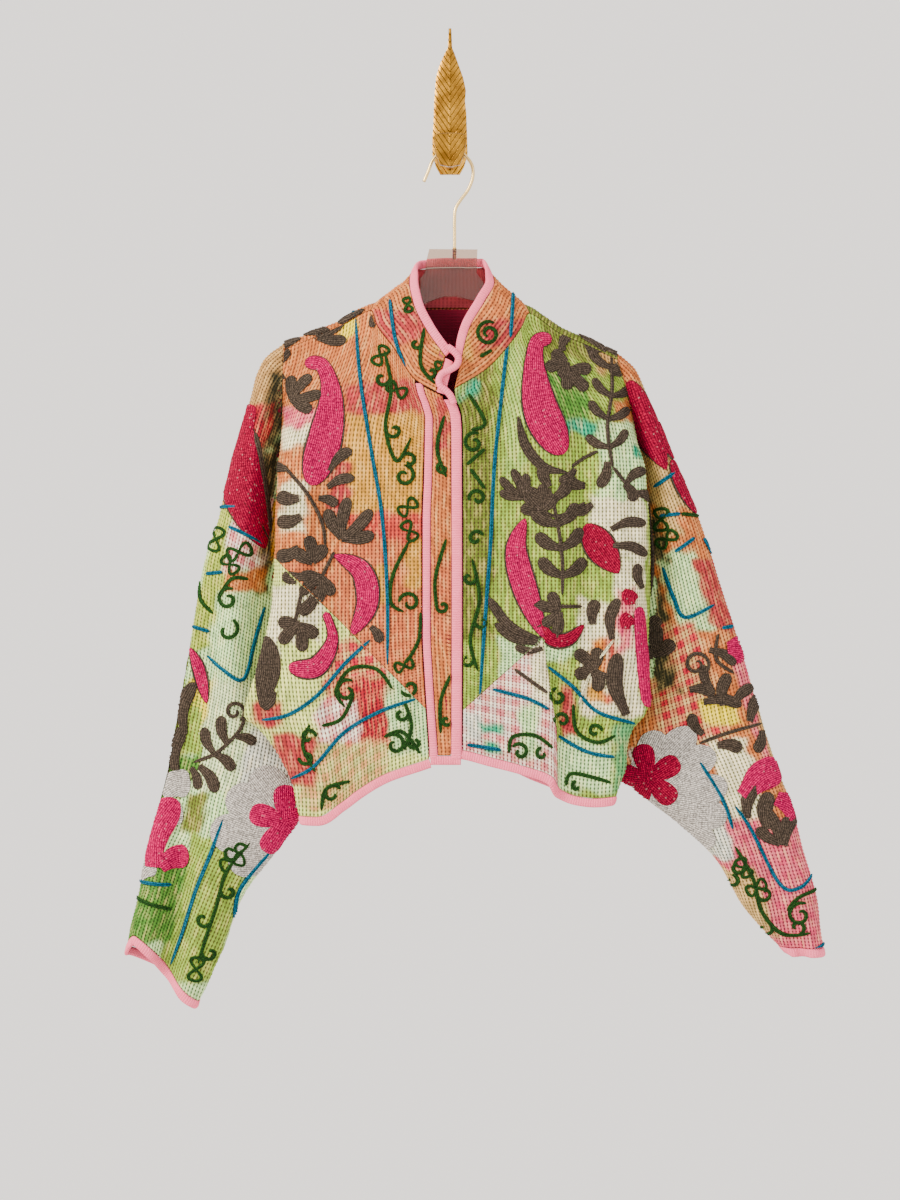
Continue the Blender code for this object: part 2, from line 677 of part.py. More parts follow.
def band(name, middles, sides, outs, width, thick):
    """A padded pink strip swept along a line, with its width and thickness directions given."""
    rings = []
    for middle, side, out in zip(middles, sides, outs):
        ring = []
        for k in range(BAND_CORNERS):
            angle = 2 * math.pi * (k + 0.5) / BAND_CORNERS
            c = math.cos(angle)
            s = math.sin(angle)
            flat = math.copysign(abs(c) ** 0.6, c) * width / 2
            high = math.copysign(abs(s) ** 0.8, s) * thick / 2
            ring.append(middle + side * flat + out * high)
        rings.append(ring)
    points, faces = lofted(rings)
    return add_object(name, points, faces, PINK, BAND_ROUGHNESS)


SQUARE = 0.75          # how far a binding turns square to its edge where the edge runs aslant
EDGE_STEP = 0.004      # share of a surface stepped over to find the direction of its edge


def edge_band(name, surface, line, beyond, outward):
    """A binding along a surface's edge. line gives (u, v) places on it, and beyond a step into the cloth.

    It turns from ring to ring without a twist, and faces outwards on the whole.
    """
    places = []
    sides = []
    outs = []
    facing = 0.0
    for u, v in line:
        here = surface(u, v)
        inside = surface(u + beyond[0] * EDGE_STEP, v + beyond[1] * EDGE_STEP)
        step = EDGE_STEP if max(u * abs(beyond[1]), v * abs(beyond[0])) + EDGE_STEP <= 1 else -EDGE_STEP
        onwards = surface(u + step * abs(beyond[1]), v + step * abs(beyond[0]))
        along = unit((onwards - here) * step)
        away = unit(here - inside)
        away = unit(away - along * np.dot(away, along) * SQUARE)
        out = unit(np.cross(away, along))
        if outs and np.dot(out, outs[-1]) < 0:
            out = -out
        facing += np.dot(out, outward(u, v))
        places.append(here)
        sides.append(away)
        outs.append(out)
    outs = [out * math.copysign(1.0, facing) for out in outs]
    middles = []
    for here, away, out in zip(places, sides, outs):
        middles.append(here + away * (BINDING_WIDTH / 2 + GAP) - out * CLOTH / 2)
    return band(name, middles, sides, outs, BINDING_WIDTH, BINDING_THICK)


def spread(start, stop, count):
    return [start + (stop - start) * k / (count - 1) for k in range(count)]


def forwards(u, v):
    return FORWARDS


def backwards(u, v):
    return BACKWARDS


CUTTER_DEPTHS = (-160.0, 20.0)


def make_cutter(piece):
    """Leave a piece out of the object itself: it only shapes another."""
    piece.hide_render = True
    piece.display_type = "WIRE"


def join_or_cut(target, operation, cutter):
    boolean = target.modifiers.new(cutter.name, "BOOLEAN")
    boolean.operation = operation
    boolean.solver = "EXACT"
    boolean.object = cutter
    make_cutter(cutter)


def seam_prism(name, corners, grow):
    """An upright block through the cloth, with a panel's outline grown by a seam's gap."""
    centre = np.mean(np.array(corners, dtype=float), axis=0)
    outline = []
    for x, z in corners:
        away = unit(np.array((x, z)) - centre) * grow
        outline.append((x + away[0], z + away[1]))
    points, faces = lofted([[(x, y, z) for x, z in outline] for y in CUTTER_DEPTHS])
    return add_object(name, points, faces, MINT)


def cut_panel(front, name, corners, colour):
    """Part a lower panel from a front along its seam. Both keep the cloth's own form."""
    panel = front.copy()
    panel.data = front.data.copy()
    panel.name = name
    panel.data.name = name
    panel.data.materials.clear()
    panel.data.materials.append(material(name, colour, CLOTH_ROUGHNESS))
    bpy.context.scene.collection.objects.link(panel)
    join_or_cut(panel, "INTERSECT", seam_prism(name + "_inside", corners, 0.0))
    join_or_cut(front, "DIFFERENCE", seam_prism(name + "_seam", corners, GAP * 1.5))
    return panel


# Seams keep clear of their neighbours by ending a small share short of the line they follow.
SEAM_SHORT = 0.005
BACK_SHORT = 0.004
FRONT_TOP_SHORT = 0.002
SLEEVE_TOP_SHORT = 0.0028
COLLAR_SEAM_SHORT = 0.04
FACE_COLUMNS = 9
TURN_COLUMNS = 8
QUILT_ROWS = 35        # rows of raised quilting that the solids hold, down the body


def face_columns():
    """Where the columns of a front lie: even over its face, close over its fold."""
    face = spread(0.0, FACE_SHARE, FACE_COLUMNS)
    turn = spread(FACE_SHARE, 1.0, TURN_COLUMNS)
    return face + turn[1:]


def make_fronts():
    columns = face_columns()
    columns[-1] -= SEAM_SHORT
    rows = spread(FRONT_TOP_SHORT, 1.0, QUILT_ROWS)
    for side, colour, cut in (("right", PEACH, RIGHT_PANEL_CUT), ("left", GREEN, LEFT_PANEL_CUT)):
        surface = functools.partial(front_point, side)
        front = cloth_wall("front_" + side, surface, columns, rows, colour, forwards)
        cut_panel(front, "lower_panel_" + side, cut, MINT)


BACK_HALF_COLUMNS = (0.12, 0.24, 0.33, 0.385, 0.425, 0.47, 0.55, 0.64, 0.73, 0.82, 0.91, 1 - BACK_SHORT)
ROLL_ROWS = 6
BACK_ROWS = 28


def back_columns():
    """Columns of the back, closest where the roll over the shoulder begins at the neck."""
    return [-p for p in reversed(BACK_HALF_COLUMNS)] + [0.0] + list(BACK_HALF_COLUMNS)


def make_back():
    rows = spread(0.0, ROLL_SHARE, ROLL_ROWS) + spread(ROLL_SHARE, 1.0, BACK_ROWS)[1:]
    cloth_wall("back", back_point, back_columns(), rows, CORAL, backwards, keep_rows=ROLL_ROWS)


SLEEVE_COUNT = 27
SLEEVE_ROWS = 32
SLEEVE_KEEP = 4


def sleeve_columns():
    return spread(-1 + SEAM_SHORT, 1 - SEAM_SHORT, SLEEVE_COUNT)


def make_sleeves():
    rows = spread(SLEEVE_TOP_SHORT, 1.0, SLEEVE_ROWS)
    for side in ("right", "left"):
        surface = functools.partial(sleeve_point, side)
        name = "sleeve_" + side
        cloth_wall(name, surface, sleeve_columns(), rows, PEACH, towards_viewer_or_wall, SLEEVE_KEEP)


COLLAR_COUNT = 33
COLLAR_ROWS = 6
COLLAR_TILT = 15.0     # a collar's outside also looks up a little


def collar_outward(t, w):
    place = collar_point(t, w)
    return np.array((place[0], place[1] - HANG_Y, COLLAR_TILT))


def make_collar():
    columns = spread(-1.0, 1.0, COLLAR_COUNT)
    rows = spread(COLLAR_SEAM_SHORT, 1.0, COLLAR_ROWS)
    cloth_wall("collar", collar_point, columns, rows, PEACH, collar_outward, keep_rows=COLLAR_ROWS)


PLACKET_COLUMNS = 4
STRIP_ROWS = 22
EDGE_CURL_ROWS = 5     # where the front edge curls over at the neck
EDGE_ROWS = 20


def placket_point(p, q):
    """A point on the placket band, from its pink strip to the edge binding."""
    z_top = track(PLACKET_TOP, ("p", "z"), "z")(p)
    z = z_top + (HEMS["right"](PLACKET_FOOT_X) - z_top) * q
    start = STRIP(z) + STRIP_WIDTH / 2 + GAP
    x = start + (EDGE(z) - EDGE_WIDTH / 2 - GAP - start) * p
    return np.array((x, front_depth("right", x, z) - PLACKET_RAISE, z))


def upright_strip(name, centre, rows, width, thick):
    """A pink strip down the front, raised with the placket that it edges."""
    middles = []
    for z in rows:
        x = centre(z)
        middles.append(np.array((x, front_depth("right", x, z) + CLOTH / 2 - PLACKET_RAISE, z)))
    count = len(middles)
    band(name, middles, [ACROSS] * count, [FORWARDS] * count, width, thick)


def make_placket():
    columns = spread(0.0, 1.0, PLACKET_COLUMNS)
    cloth_wall("placket_band", placket_point, columns, spread(0.0, 1.0, QUILT_ROWS), PEACH, forwards)
    upright_strip("placket_strip", STRIP, spread(*STRIP_HEIGHTS, STRIP_ROWS), STRIP_WIDTH, BINDING_THICK)


def make_edge_binding():
    """The doubled binding down the right front edge, which covers the left front's edge."""
    top, curl, foot = EDGE_HEIGHTS
    rows = spread(top, curl, EDGE_CURL_ROWS) + spread(curl, foot, EDGE_ROWS)[1:]
    upright_strip("binding_front_edge", EDGE, rows, EDGE_WIDTH, EDGE_THICK)


def edge_line(columns):
    """Places along the last row of a surface."""
    return [(p, 1.0) for p in columns]


HEM_CORNER = 0.985     # where a front's hem binding stops, just short of the side seam
COLLAR_END_SHARE = 0.96


def make_hem_bindings():
    """Bindings of the hems, with a joint at every column of the cloth that they edge."""
    into = (0, -1)
    for side in ("right", "left"):
        line = edge_line(face_columns()[:-1] + [HEM_CORNER])
        surface = functools.partial(front_point, side)
        edge_band("binding_hem_" + side, surface, line, into, forwards)
    edge_band("binding_hem_back", back_point, edge_line(back_columns()[1:-1]), into, backwards)
    line = edge_line(spread(0.0, 1.0, PLACKET_COLUMNS))
    edge_band("binding_hem_placket", placket_point, line, into, forwards)


def make_cuff_bindings():
    for side in ("right", "left"):
        surface = functools.partial(sleeve_point, side)
        line = edge_line(sleeve_columns()[1:-1])
        edge_band("binding_cuff_" + side, surface, line, (0, -1), towards_viewer_or_wall)


def make_collar_binding():
    """The collar's bound edge, and the binding that turns down its end over the placket."""
    line = edge_line(spread(-1.0, 1.0, COLLAR_COUNT))
    edge_band("binding_collar", collar_point, line, (0, -1), collar_outward)
    ends = [(-1.0, w) for w in spread(0.0, COLLAR_END_SHARE, 5)]
    edge_band("binding_collar_end", collar_point, ends, (1, 0), collar_outward)


LOOP_Y = -104.5        # just in front of the collar's bound end
# Line of the closure loop, each point across and up
LOOP = (
    (10, -262), (11, -268), (7, -275), (0, -280), (-8, -281), (-14, -286), (-15, -293), (-10, -299),
    (-3, -303),
)
CORD = 2.6             # radius of the corded binding in the closure loop


def smooth_line(points):
    """Points along a smooth line through the points given, with one more between each two."""
    data = np.array(points, dtype=float)
    last = len(data) - 1
    dense = []
    for k in range(last):
        before, a, b, after = data[max(0, k - 1)], data[k], data[k + 1], data[min(last, k + 2)]
        for t in (0.0, 0.5):
            bend = (2 * before - 5 * a + 4 * b - after) * t * t + (3 * a - before - 3 * b + after) * t ** 3
            dense.append(0.5 * (2 * a + (b - before) * t + bend))
    dense.append(data[-1])
    return dense


def cord(name, points, radius, colour, roughness=BAND_ROUGHNESS, metallic=0.0):
    """A round cord or wire along a smooth line through the points given."""
    dense = smooth_line(points)
    curve = bpy.data.curves.new(name, "CURVE")
    curve.dimensions = "3D"
    curve.bevel_depth = radius * MM
    curve.bevel_resolution = 2
    curve.use_fill_caps = True
    spline = curve.splines.new("POLY")
    spline.points.add(len(dense) - 1)
    for point, place in zip(spline.points, dense):
        point.co = (*[float(c) * MM for c in place], 1.0)
    curve.materials.append(material(name, colour, roughness, metallic))
    made = bpy.data.objects.new(name, curve)
    bpy.context.scene.collection.objects.link(made)
    return made


def make_loop():
    points = [(x, LOOP_Y, z) for x, z in LOOP]
    cord("closure_loop", points, CORD, PINK)


# Outline of the hanger from the front, each point across and up. The arms follow the shoulders.
PLATE_THICK = 6.0
PLATE_TOP = ((-23, -138), (30.5, -138.5), (30, -150), (29.5, -165), (44, -184), (64, -201), (82, -215))
PLATE_TOP_RIGHT = ((-82, -212), (-64, -199), (-43, -182), (-28, -165), (-26, -150))
ARM_STEPS = (112, 122, 138, 154, 168, 176, 181)
ARM_DEPTH = 24.0
ARM_TIP_DROP = 6.0
ARM_TIP_SET = 4.0
ARM_CLEAR = 1.25       # under the roll, where the arm's edges come nearest the cloth
ARCH = ((-66, -213), (-44, -204), (-25, -197), (-7, -190.5), (6, -190), (26, -195), (45, -204), (67, -216))


def arm_top(x):
    """Top of a hanger arm, just under the roll of the shoulder."""
    return SHOULDER(x) + SHOULDER_RISE - CLOTH - ARM_CLEAR


def arm_over(sign):
    """Upper corners of an arm, from the neck out to its tip."""
    tip = sign * ARM_STEPS[-1]
    return [(sign * x, arm_top(sign * x)) for x in ARM_STEPS[:-1]] + [(tip, arm_top(tip) - ARM_TIP_DROP)]


def arm_under(sign):
    """Lower corners of an arm, from its tip back towards the neck."""
    tip = sign * ARM_STEPS[-1]
    under = [(sign * x, arm_top(sign * x) - ARM_DEPTH) for x in reversed(ARM_STEPS[:-2])]
    return [(tip - sign * ARM_TIP_SET, arm_top(tip) - ARM_DEPTH)] + under


def make_hanger():
    """A clear flat hanger, cut from sheet, with a bore in its neck for the hook's socket."""
    outline = list(PLATE_TOP) + arm_over(1) + arm_under(1) + list(reversed(ARCH))
    outline += list(reversed(arm_under(-1))) + list(reversed(arm_over(-1))) + list(PLATE_TOP_RIGHT)
    depths = (HANG_Y - PLATE_THICK / 2, HANG_Y + PLATE_THICK / 2)
    points, faces = lofted([[(x, y, z) for x, z in outline] for y in depths])
    plate = add_object("hanger_plate", points, faces, CLEAR, PLATE_ROUGHNESS)
    radius = SOCKET_RADIUS + GAP
    bore = turned("socket_bore", ((radius, PLATE_Z + 1.0), (radius, PLATE_Z - SOCKET_DEEP - GAP)), BORE_SIDES)
    join_or_cut(plate, "DIFFERENCE", bore)


PLATE_ROUGHNESS = 0.08
METAL_ROUGHNESS = 0.3
HOOK_X = 5.0
PLATE_Z = -138.0       # top of the hanger's neck
SOCKET_RADIUS = 2.2
SOCKET_DEEP = 11.0
COLLAR_OF_SOCKET = 0.6 # how far the socket's rim stands out and up
BORE_SIDES = 16
SOCKET_SIDES = 12
WIRE = 1.9             # radius of the hook's wire
# Line of the hanger's hook, from its tip over the wall hook's arm and down to the socket
HOOK_LINE = (
    (-29, -63), (-24, -51), (-19, -39), (-11, -31), (0, -27.6), (11, -30), (20, -37.5), (25, -47), (25, -59),
    (20, -72), (12, -83), (6.5, -92), (5, -102), (5, -120), (5, -137.2),
)


def turned(name, profile, sides):
    """A solid of revolution about the hook's upright stem, from rows of radius and height, top first."""
    rings = []
    for radius, z in profile:
        turns = [2 * math.pi * k / sides for k in range(sides)]
        rings.append([(HOOK_X + radius * math.cos(a), HANG_Y + radius * math.sin(a), z) for a in turns])
    points, faces = lofted(rings)
    return add_object(name, points, faces, GOLD, METAL_ROUGHNESS, 1.0)


def make_hook():
    cord("hanger_hook", [(x, HANG_Y, z) for x, z in HOOK_LINE], WIRE, GOLD, METAL_ROUGHNESS, 1.0)
    rim = SOCKET_RADIUS + COLLAR_OF_SOCKET
    seat = PLATE_Z + GAP
    profile = (
        (rim, PLATE_Z + COLLAR_OF_SOCKET),
        (rim, seat),
        (SOCKET_RADIUS, seat - 0.05),
        (SOCKET_RADIUS, PLATE_Z - SOCKET_DEEP),
    )
    turned("hook_socket", profile, SOCKET_SIDES)


# The wall hook: a long crowned leaf against the wall, an arm that comes forwards from its foot, and
# a lip across the arm's end. Each row of the leaf is a height and how far it reaches to each side.
LEAF = (
    (118, -1.5, 1.5), (96, -2.5, 2.5), (90, -6, 5), (76, -12, 10), (62, -16, 15), (48, -17, 18),
    (36, -18, 17), (22, -18.5, 18.5), (8, -19, 19), (-8, -20, 19.5), (-24, -20, 20), (-38, -16, 16),
    (-47, -11, 11),
)
LEAF_THICK = 3.2
LEAF_CROWN = 2.6
LEAF_CROWN_FULL = 24.0 # a leaf at least this wide has its full crown
LEAF_HALF_COLUMNS = 6
ARM_PROFILE = (
    (-5.0, -36.5), (-6.0, -32.0), (0.0, -29.9), (6.0, -32.0), (5.0, -36.5), (4.0, -42.0), (-4.0, -42.0),
)
ARM_DEPTHS = (-60.0, -1.0)
LIP_DEPTHS = (-65.5, -58.5)
LIP_SOFT = 1.5         # the lip's front edge is rounded by this much
LIP_PROFILE = (
    (-11.0, -47.0), (-15.5, -36.0), (-17.5, -22.0), (-17.0, -13.5), (-9.0, -12.0), (0.0, -11.5), (9.0, -12.0),
    (17.0, -13.5), (17.5, -22.0), (15.5, -36.0), (11.0, -47.0), (0.0, -49.0),
)
BRASS_ROUGHNESS = 0.35
SCREW_X = 9.5
SCREW_RINGS = ((0.0, 4.0), (1.2, 4.0), (2.2, 2.6))     # height off the leaf, and radius
SCREW_SIDES = 12


def leaf_row(z, left, right, crowned):
    """Points across the leaf at one height, on its crowned front or its flat back."""
    row = []
    for k in range(2 * LEAF_HALF_COLUMNS + 1):
        share = k / LEAF_HALF_COLUMNS - 1.0
        x = share * (-left if share < 0 else right)
        crown = LEAF_CROWN * (1 - abs(share)) ** 0.6 * min(1.0, (right - left) / LEAF_CROWN_FULL)
        row.append((x, -(LEAF_THICK + crown) if crowned else 0.0, z))
    return row


def make_leaf():
    rings = [leaf_row(*row, True) + leaf_row(*row, False)[::-1] for row in LEAF]
    points, faces = lofted(rings)
    return add_object("wall_hook", points, faces, BRASS, BRASS_ROUGHNESS, 1.0)


def bar(name, profile, depths, soften):
    """A bar along Y with an outline seen from the front, its front edge drawn in by soften."""
    middle = np.mean(np.array(profile), axis=0)
    front, back = depths
    rings = []
    for y, draw in ((front, soften), (front + soften, 0.0), (back, 0.0)):
        drawn = [np.array(corner) + unit(middle - np.array(corner)) * draw for corner in profile]
        rings.append([(x, y, z) for x, z in drawn])
    points, faces = lofted(rings if soften else rings[1:])
    return add_object(name, points, faces, BRASS, BRASS_ROUGHNESS, 1.0)


def make_wall_hook():
    """The brass hook that carries the hanger, with the two screws that hold it to the wall."""
    leaf = make_leaf()
    join_or_cut(leaf, "UNION", bar("hook_arm", ARM_PROFILE, ARM_DEPTHS, 0.0))
    join_or_cut(leaf, "UNION", bar("hook_lip", LIP_PROFILE, LIP_DEPTHS, LIP_SOFT))
    for number, x in enumerate((-SCREW_X, SCREW_X), start=1):
        make_screw("screw_%d" % number, x)


def make_screw(name, x):
    """A low domed screw head, just clear of the leaf."""
    front = -(LEAF_THICK + LEAF_CROWN * 0.75) - GAP
    turns = [2 * math.pi * k / SCREW_SIDES for k in range(SCREW_SIDES)]
    rings = []
    for forward, radius in SCREW_RINGS:
        rings.append([(x + radius * math.cos(a), front - forward, radius * math.sin(a)) for a in turns])
    points, faces = lofted(rings)
    add_object(name, points, faces, BRASS, BRASS_ROUGHNESS, 1.0)


def clear_scene():
    for old in list(bpy.data.objects):
        bpy.data.objects.remove(old, do_unlink=True)


clear_scene()
make_fronts()
make_back()
make_sleeves()
make_collar()
make_placket()
make_edge_binding()
make_hem_bindings()
make_cuff_bindings()
make_collar_binding()
make_loop()
make_hanger()
make_hook()
make_wall_hook()
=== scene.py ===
# %% [markdown]
# # Dressing a quilted patchwork jacket
#
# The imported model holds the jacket, its clear hanger and the brass wall hook at their real size and
# place. This lesson gives them their looks: stitched cloth, wool embroidery, pink bindings, acrylic
# and metal. Lengths in the tables are millimetres, and become metres where a mesh is made. X runs to
# the viewer's right, Y towards the wall and Z up. "Right" and "left" are the wearer's.

# %% Load the frame
import functools
import json
import math
from collections import namedtuple

import bmesh
import bpy
import numpy as np
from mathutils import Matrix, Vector
from mathutils.bvhtree import BVHTree

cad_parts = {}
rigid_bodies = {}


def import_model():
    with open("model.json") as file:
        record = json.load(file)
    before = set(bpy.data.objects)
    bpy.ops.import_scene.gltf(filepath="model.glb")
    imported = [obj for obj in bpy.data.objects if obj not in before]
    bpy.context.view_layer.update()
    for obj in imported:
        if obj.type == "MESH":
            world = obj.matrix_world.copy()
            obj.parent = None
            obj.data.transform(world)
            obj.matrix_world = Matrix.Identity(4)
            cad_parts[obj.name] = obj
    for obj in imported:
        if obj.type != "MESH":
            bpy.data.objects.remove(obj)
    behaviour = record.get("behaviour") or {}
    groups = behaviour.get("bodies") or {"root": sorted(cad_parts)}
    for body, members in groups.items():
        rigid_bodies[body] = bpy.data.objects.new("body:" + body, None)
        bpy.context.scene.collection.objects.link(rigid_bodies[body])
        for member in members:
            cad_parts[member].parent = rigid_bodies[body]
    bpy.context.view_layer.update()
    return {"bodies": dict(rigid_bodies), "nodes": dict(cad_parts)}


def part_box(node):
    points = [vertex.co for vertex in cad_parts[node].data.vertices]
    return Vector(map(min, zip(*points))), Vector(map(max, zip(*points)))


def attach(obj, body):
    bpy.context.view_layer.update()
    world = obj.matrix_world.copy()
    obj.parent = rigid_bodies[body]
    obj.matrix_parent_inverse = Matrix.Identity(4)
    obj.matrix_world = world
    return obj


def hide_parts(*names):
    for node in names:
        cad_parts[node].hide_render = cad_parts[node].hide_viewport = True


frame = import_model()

BODY = sorted(frame["bodies"])[0]
bpy.ops.object.select_all(action="DESELECT")
print("nodes in the frame:", len(frame["nodes"]))

# %% [markdown]
# The photograph looks straight at the jacket, so one pixel is nearly one length all over it. The
# hanger's neck, its wire and the bindings have usual sizes, and all three agree on 1.1 mm a pixel.
# A frame of 1.32 m at a distance of 2.6 m settles the lens, with Blender's 36 mm on the long side.

# %% Camera
MM = 0.001
PIXEL = 1.1 * MM
PHOTO_HEIGHT = 1200
CENTRE_Z = -0.527
CLOTH_PLANE = -0.07
DISTANCE = 2.6
SENSOR = 36.0

bpy.ops.object.camera_add(location=(0.0, CLOTH_PLANE - DISTANCE, CENTRE_Z), rotation=(math.pi / 2, 0.0, 0.0))
camera = bpy.context.object
camera.name = "photo_camera"
camera.data.sensor_width = SENSOR
camera.data.lens = SENSOR * DISTANCE / (PHOTO_HEIGHT * PIXEL)
bpy.context.scene.camera = camera
print("lens in mm:", round(camera.data.lens, 1))

# %% [markdown]
# Colours are picked as sRGB hex values, which one function turns to the linear light that shaders
# work in. A second one feeds a node's inputs, and a third adds a node, sets it and feeds it, so each
# material below is a short list of what it is made of.

# %% Colour and node helpers


def linear(hex_colour, alpha=1.0):
    """An sRGB hex value as linear red, green and blue, with an alpha."""
    channels = [int(hex_colour[k:k + 2], 16) / 255 for k in (1, 3, 5)]
    light = [c / 12.92 if c <= 0.04045 else ((c + 0.055) / 1.055) ** 2.4 for c in channels]
    return (*light, alpha)


def connect(tree, made, inputs):
    """Give a node's inputs, by name or number, their values or the nodes and sockets that feed them."""
    sockets = [socket for socket in made.inputs if socket.enabled]
    for key, value in inputs.items():
        socket = sockets[key] if isinstance(key, int) else next(s for s in sockets if s.name == key)
        if isinstance(value, bpy.types.Node):
            value = next(output for output in value.outputs if output.enabled)
        if isinstance(value, bpy.types.NodeSocket):
            tree.links.new(value, socket)
        else:
            socket.default_value = value


def add(tree, kind, *inputs, **named):
    """Add a node: inputs in order, then inputs by capitalised name and settings in lower case."""
    made = tree.nodes.new("ShaderNode" + kind)
    for name, value in named.items():
        if name.islower():
            setattr(made, name, value)
    by_name = {name: value for name, value in named.items() if not name.islower()}
    connect(tree, made, dict(enumerate(inputs)) | by_name)
    return made


def new_material(name, **constants):
    """A material with one Principled shader. The constants are set on the shader's own sockets."""
    made = bpy.data.materials.new(name)
    made.use_nodes = True
    shader = made.node_tree.nodes["Principled BSDF"]
    for key, value in constants.items():
        shader.inputs[key.replace("_", " ").title().replace("Ior", "IOR")].default_value = value
    return made, made.node_tree, shader


# The setting of a map range that eases in and out
SOFTLY = {"interpolation_type": "SMOOTHSTEP"}

# %% [markdown]
# The cloth follows the model's own cut, so the same driving tables are repeated here, and the same
# surfaces are worked out from them, now for whole arrays of places at once. A table gives a seam or
# an edge at a few heights, under a row with the names of its columns, and a smooth line runs through
# each column. Rows of a table end at a semicolon or at the end of a line.

# %% Sizes and tables of the cut
CLOTH = 2.4
GAP = 0.3
BINDING_WIDTH = 10.0
BINDING_THICK = 4.6
STRIP_WIDTH = 8.5
PLACKET_RAISE = 1.0
SHOULDER_HALF = 14.0
SHOULDER_RISE = 9.0
HANG_Y = -48.0
FRONT_HEM_REFERENCE = -735.0
FRONT_TOP_REFERENCE = -250.0

RIGHT_SIDE = """
z ridge seam seam_front seam_back turn
-251 -184 -184 -62 -34 -62
-281 -183 -185 -56 -31 -60
-310 -184 -186 -48 -28 -60
-351 -187 -188 -42 -25 -60
-400 -189.5 -190 -39 -22 -60
-439 -191 -192 -38 -21 -60
-488 -191.5 -193 -38 -20 -60
-526 -195 -193 -38 -19 -62
-561 -200 -192.5 -38 -19 -66
-604 -208 -189 -38 -20 -70
-635 -214 -184 -38 -22 -73
-652 -216 -180 -38 -24 -74
-668 -203 -176 -38 -26 -74
-686 -190 -171 -38 -29 -74
-704 -181 -165 -38 -32 -74
-726 -171 -156 -38 -36 -74
-741 -166 -149 -38 -38 -74
-790 -158 -142 -38 -38 -72
"""
LEFT_SIDE = """
z ridge seam seam_front seam_back turn
-262 185 185 -62 -34 -62
-290 196 194 -54 -31 -60
-319 203 202 -47 -28 -60
-355 209 209 -42 -25 -60
-384 215 213 -40 -23 -60
-439 218 219 -38 -21 -60
-474 218 221 -38 -20 -60
-520 213 222 -38 -19 -60
-560 214 220 -38 -19 -64
-600 217 216 -38 -20 -70
-635 218 209 -38 -22 -73
-652 213 203 -38 -24 -74
-668 200 194 -38 -28 -74
-684 194 185 -38 -32 -74
-700 190 173 -38 -36 -74
-712 188 168 -38 -38 -74
-724 184 165 -38 -38 -72
-770 172 158 -38 -38 -70
"""

RIGHT_SLEEVE = """
s outer_x outer_z under_x under_z mid front back crease sink
0 -184 -242 -184 -251 -48 -62 -34 0.7 0
0.04 -206 -259 -185 -281 -46 -65 -31 0.7 0
0.08 -217 -285 -186 -310 -45 -69 -28 0.7 0
0.13 -225 -318 -188 -348 -44 -74 -24 0.7 0
0.2 -239 -365 -190 -400 -43 -78 -20 0.72 0
0.3 -256 -433 -193 -474 -42 -80 -17 0.74 0
0.37 -272 -482 -193 -527 -42 -79 -15 0.75 5
0.45 -282 -535 -190 -586 -41 -74 -14 0.79 11
0.54 -292 -597 -180 -652 -41 -69 -14 0.81 14
0.61 -301 -645 -169 -692 -39 -62 -14 0.83 15
0.668 -308 -685 -149 -741 -38 -58 -14 0.85 15
0.72 -315 -721 -168 -773 -38 -62 -14 0.85 17
0.78 -325 -762 -196 -811 -39 -68 -13 0.78 17
0.86 -339 -816 -230 -858 -40 -72 -13 0.62 20
0.93 -348 -862 -249 -906 -40 -70 -13 0.55 22
1 -359 -912 -273 -953 -40 -68 -14 0.46 22
"""
LEFT_SLEEVE = """
s outer_x outer_z under_x under_z mid front back crease sink
0 185 -253 185 -262 -48 -62 -34 0.5 0
0.04 206 -272 194 -290 -46 -64 -31 0.5 0
0.08 217 -297 202 -319 -45 -67 -28 0.5 0
0.13 231 -329 209 -355 -44 -71 -24 0.5 0
0.2 250 -375 216 -407 -43 -74 -20 0.5 2
0.3 277 -439 221 -481 -42 -75 -17 0.52 3
0.4 299 -506 222 -555 -42 -72 -15 0.55 5
0.5 321 -573 211 -629 -41 -68 -14 0.58 6
0.56 333 -613 200 -660 -39 -63 -14 0.6 5
0.623 346 -657 174 -712 -38 -56 -14 0.6 4
0.68 358 -695 204 -737 -38 -62 -14 0.6 4
0.76 377 -747 253 -775 -40 -66 -13 0.58 6
0.84 392 -802 295 -816 -40 -68 -13 0.52 8
0.92 407 -856 325 -867 -40 -68 -13 0.45 9
1 415 -912 364 -911 -40 -66 -14 0.4 8
"""

RIGHT_TOP = """
p x y z; -0.13 -15 -99 -300.5; 0 -38 -96 -287; 0.13 -61 -87 -252; 0.27 -80 -76 -226
0.4 -88 -63.5 -207.5; 0.58 -123 -62 -226; 0.78 -154 -62 -239; 1 -184 -62 -251
"""
LEFT_TOP = """
p x y z; 0 5 -98 -297; 0.12 41 -91 -274; 0.22 64 -84 -249; 0.31 79 -75 -227; 0.4 88 -63.5 -210.5
0.58 120 -62 -233; 0.78 153 -62 -247; 1 185 -62 -262
"""
SHOULDER_LINE = """
x z; -184 -251; -154 -239; -123 -226; -88 -207.5; -60 -203; 0 -202; 60 -203; 88 -210.5; 122 -233
154 -247; 185 -262
"""
BACK_TOP = """
p x turn; -1 -184 1; -0.8 -154 1; -0.62 -123 1; -0.47 -88.5 1; -0.425 -82 0.5; -0.385 -75 0.12
-0.33 -62 0; 0 0 0; 0.33 62 0; 0.385 75 0.12; 0.425 82 0.5; 0.47 88.5 1; 0.62 122 1; 0.8 154 1; 1 185 1
"""
DEPTHS = """
z front side back; -200 -62 2 -34; -250 -84 9 -30; -300 -96 15 -24; -380 -98 14 -17; -500 -100 10 -12
-640 -103 9 -11; -780 -101 9 -13
"""
RIGHT_HEM = """
x z; -175 -762; -150 -763; -122 -748; -101 -734; -68 -716; -35 -704; -14 -697; 0 -695
"""
LEFT_HEM = """
x z; 0 -688; 14 -690; 43 -698; 76 -707; 109 -719; 120 -733; 141 -741; 160 -743; 185 -741
"""
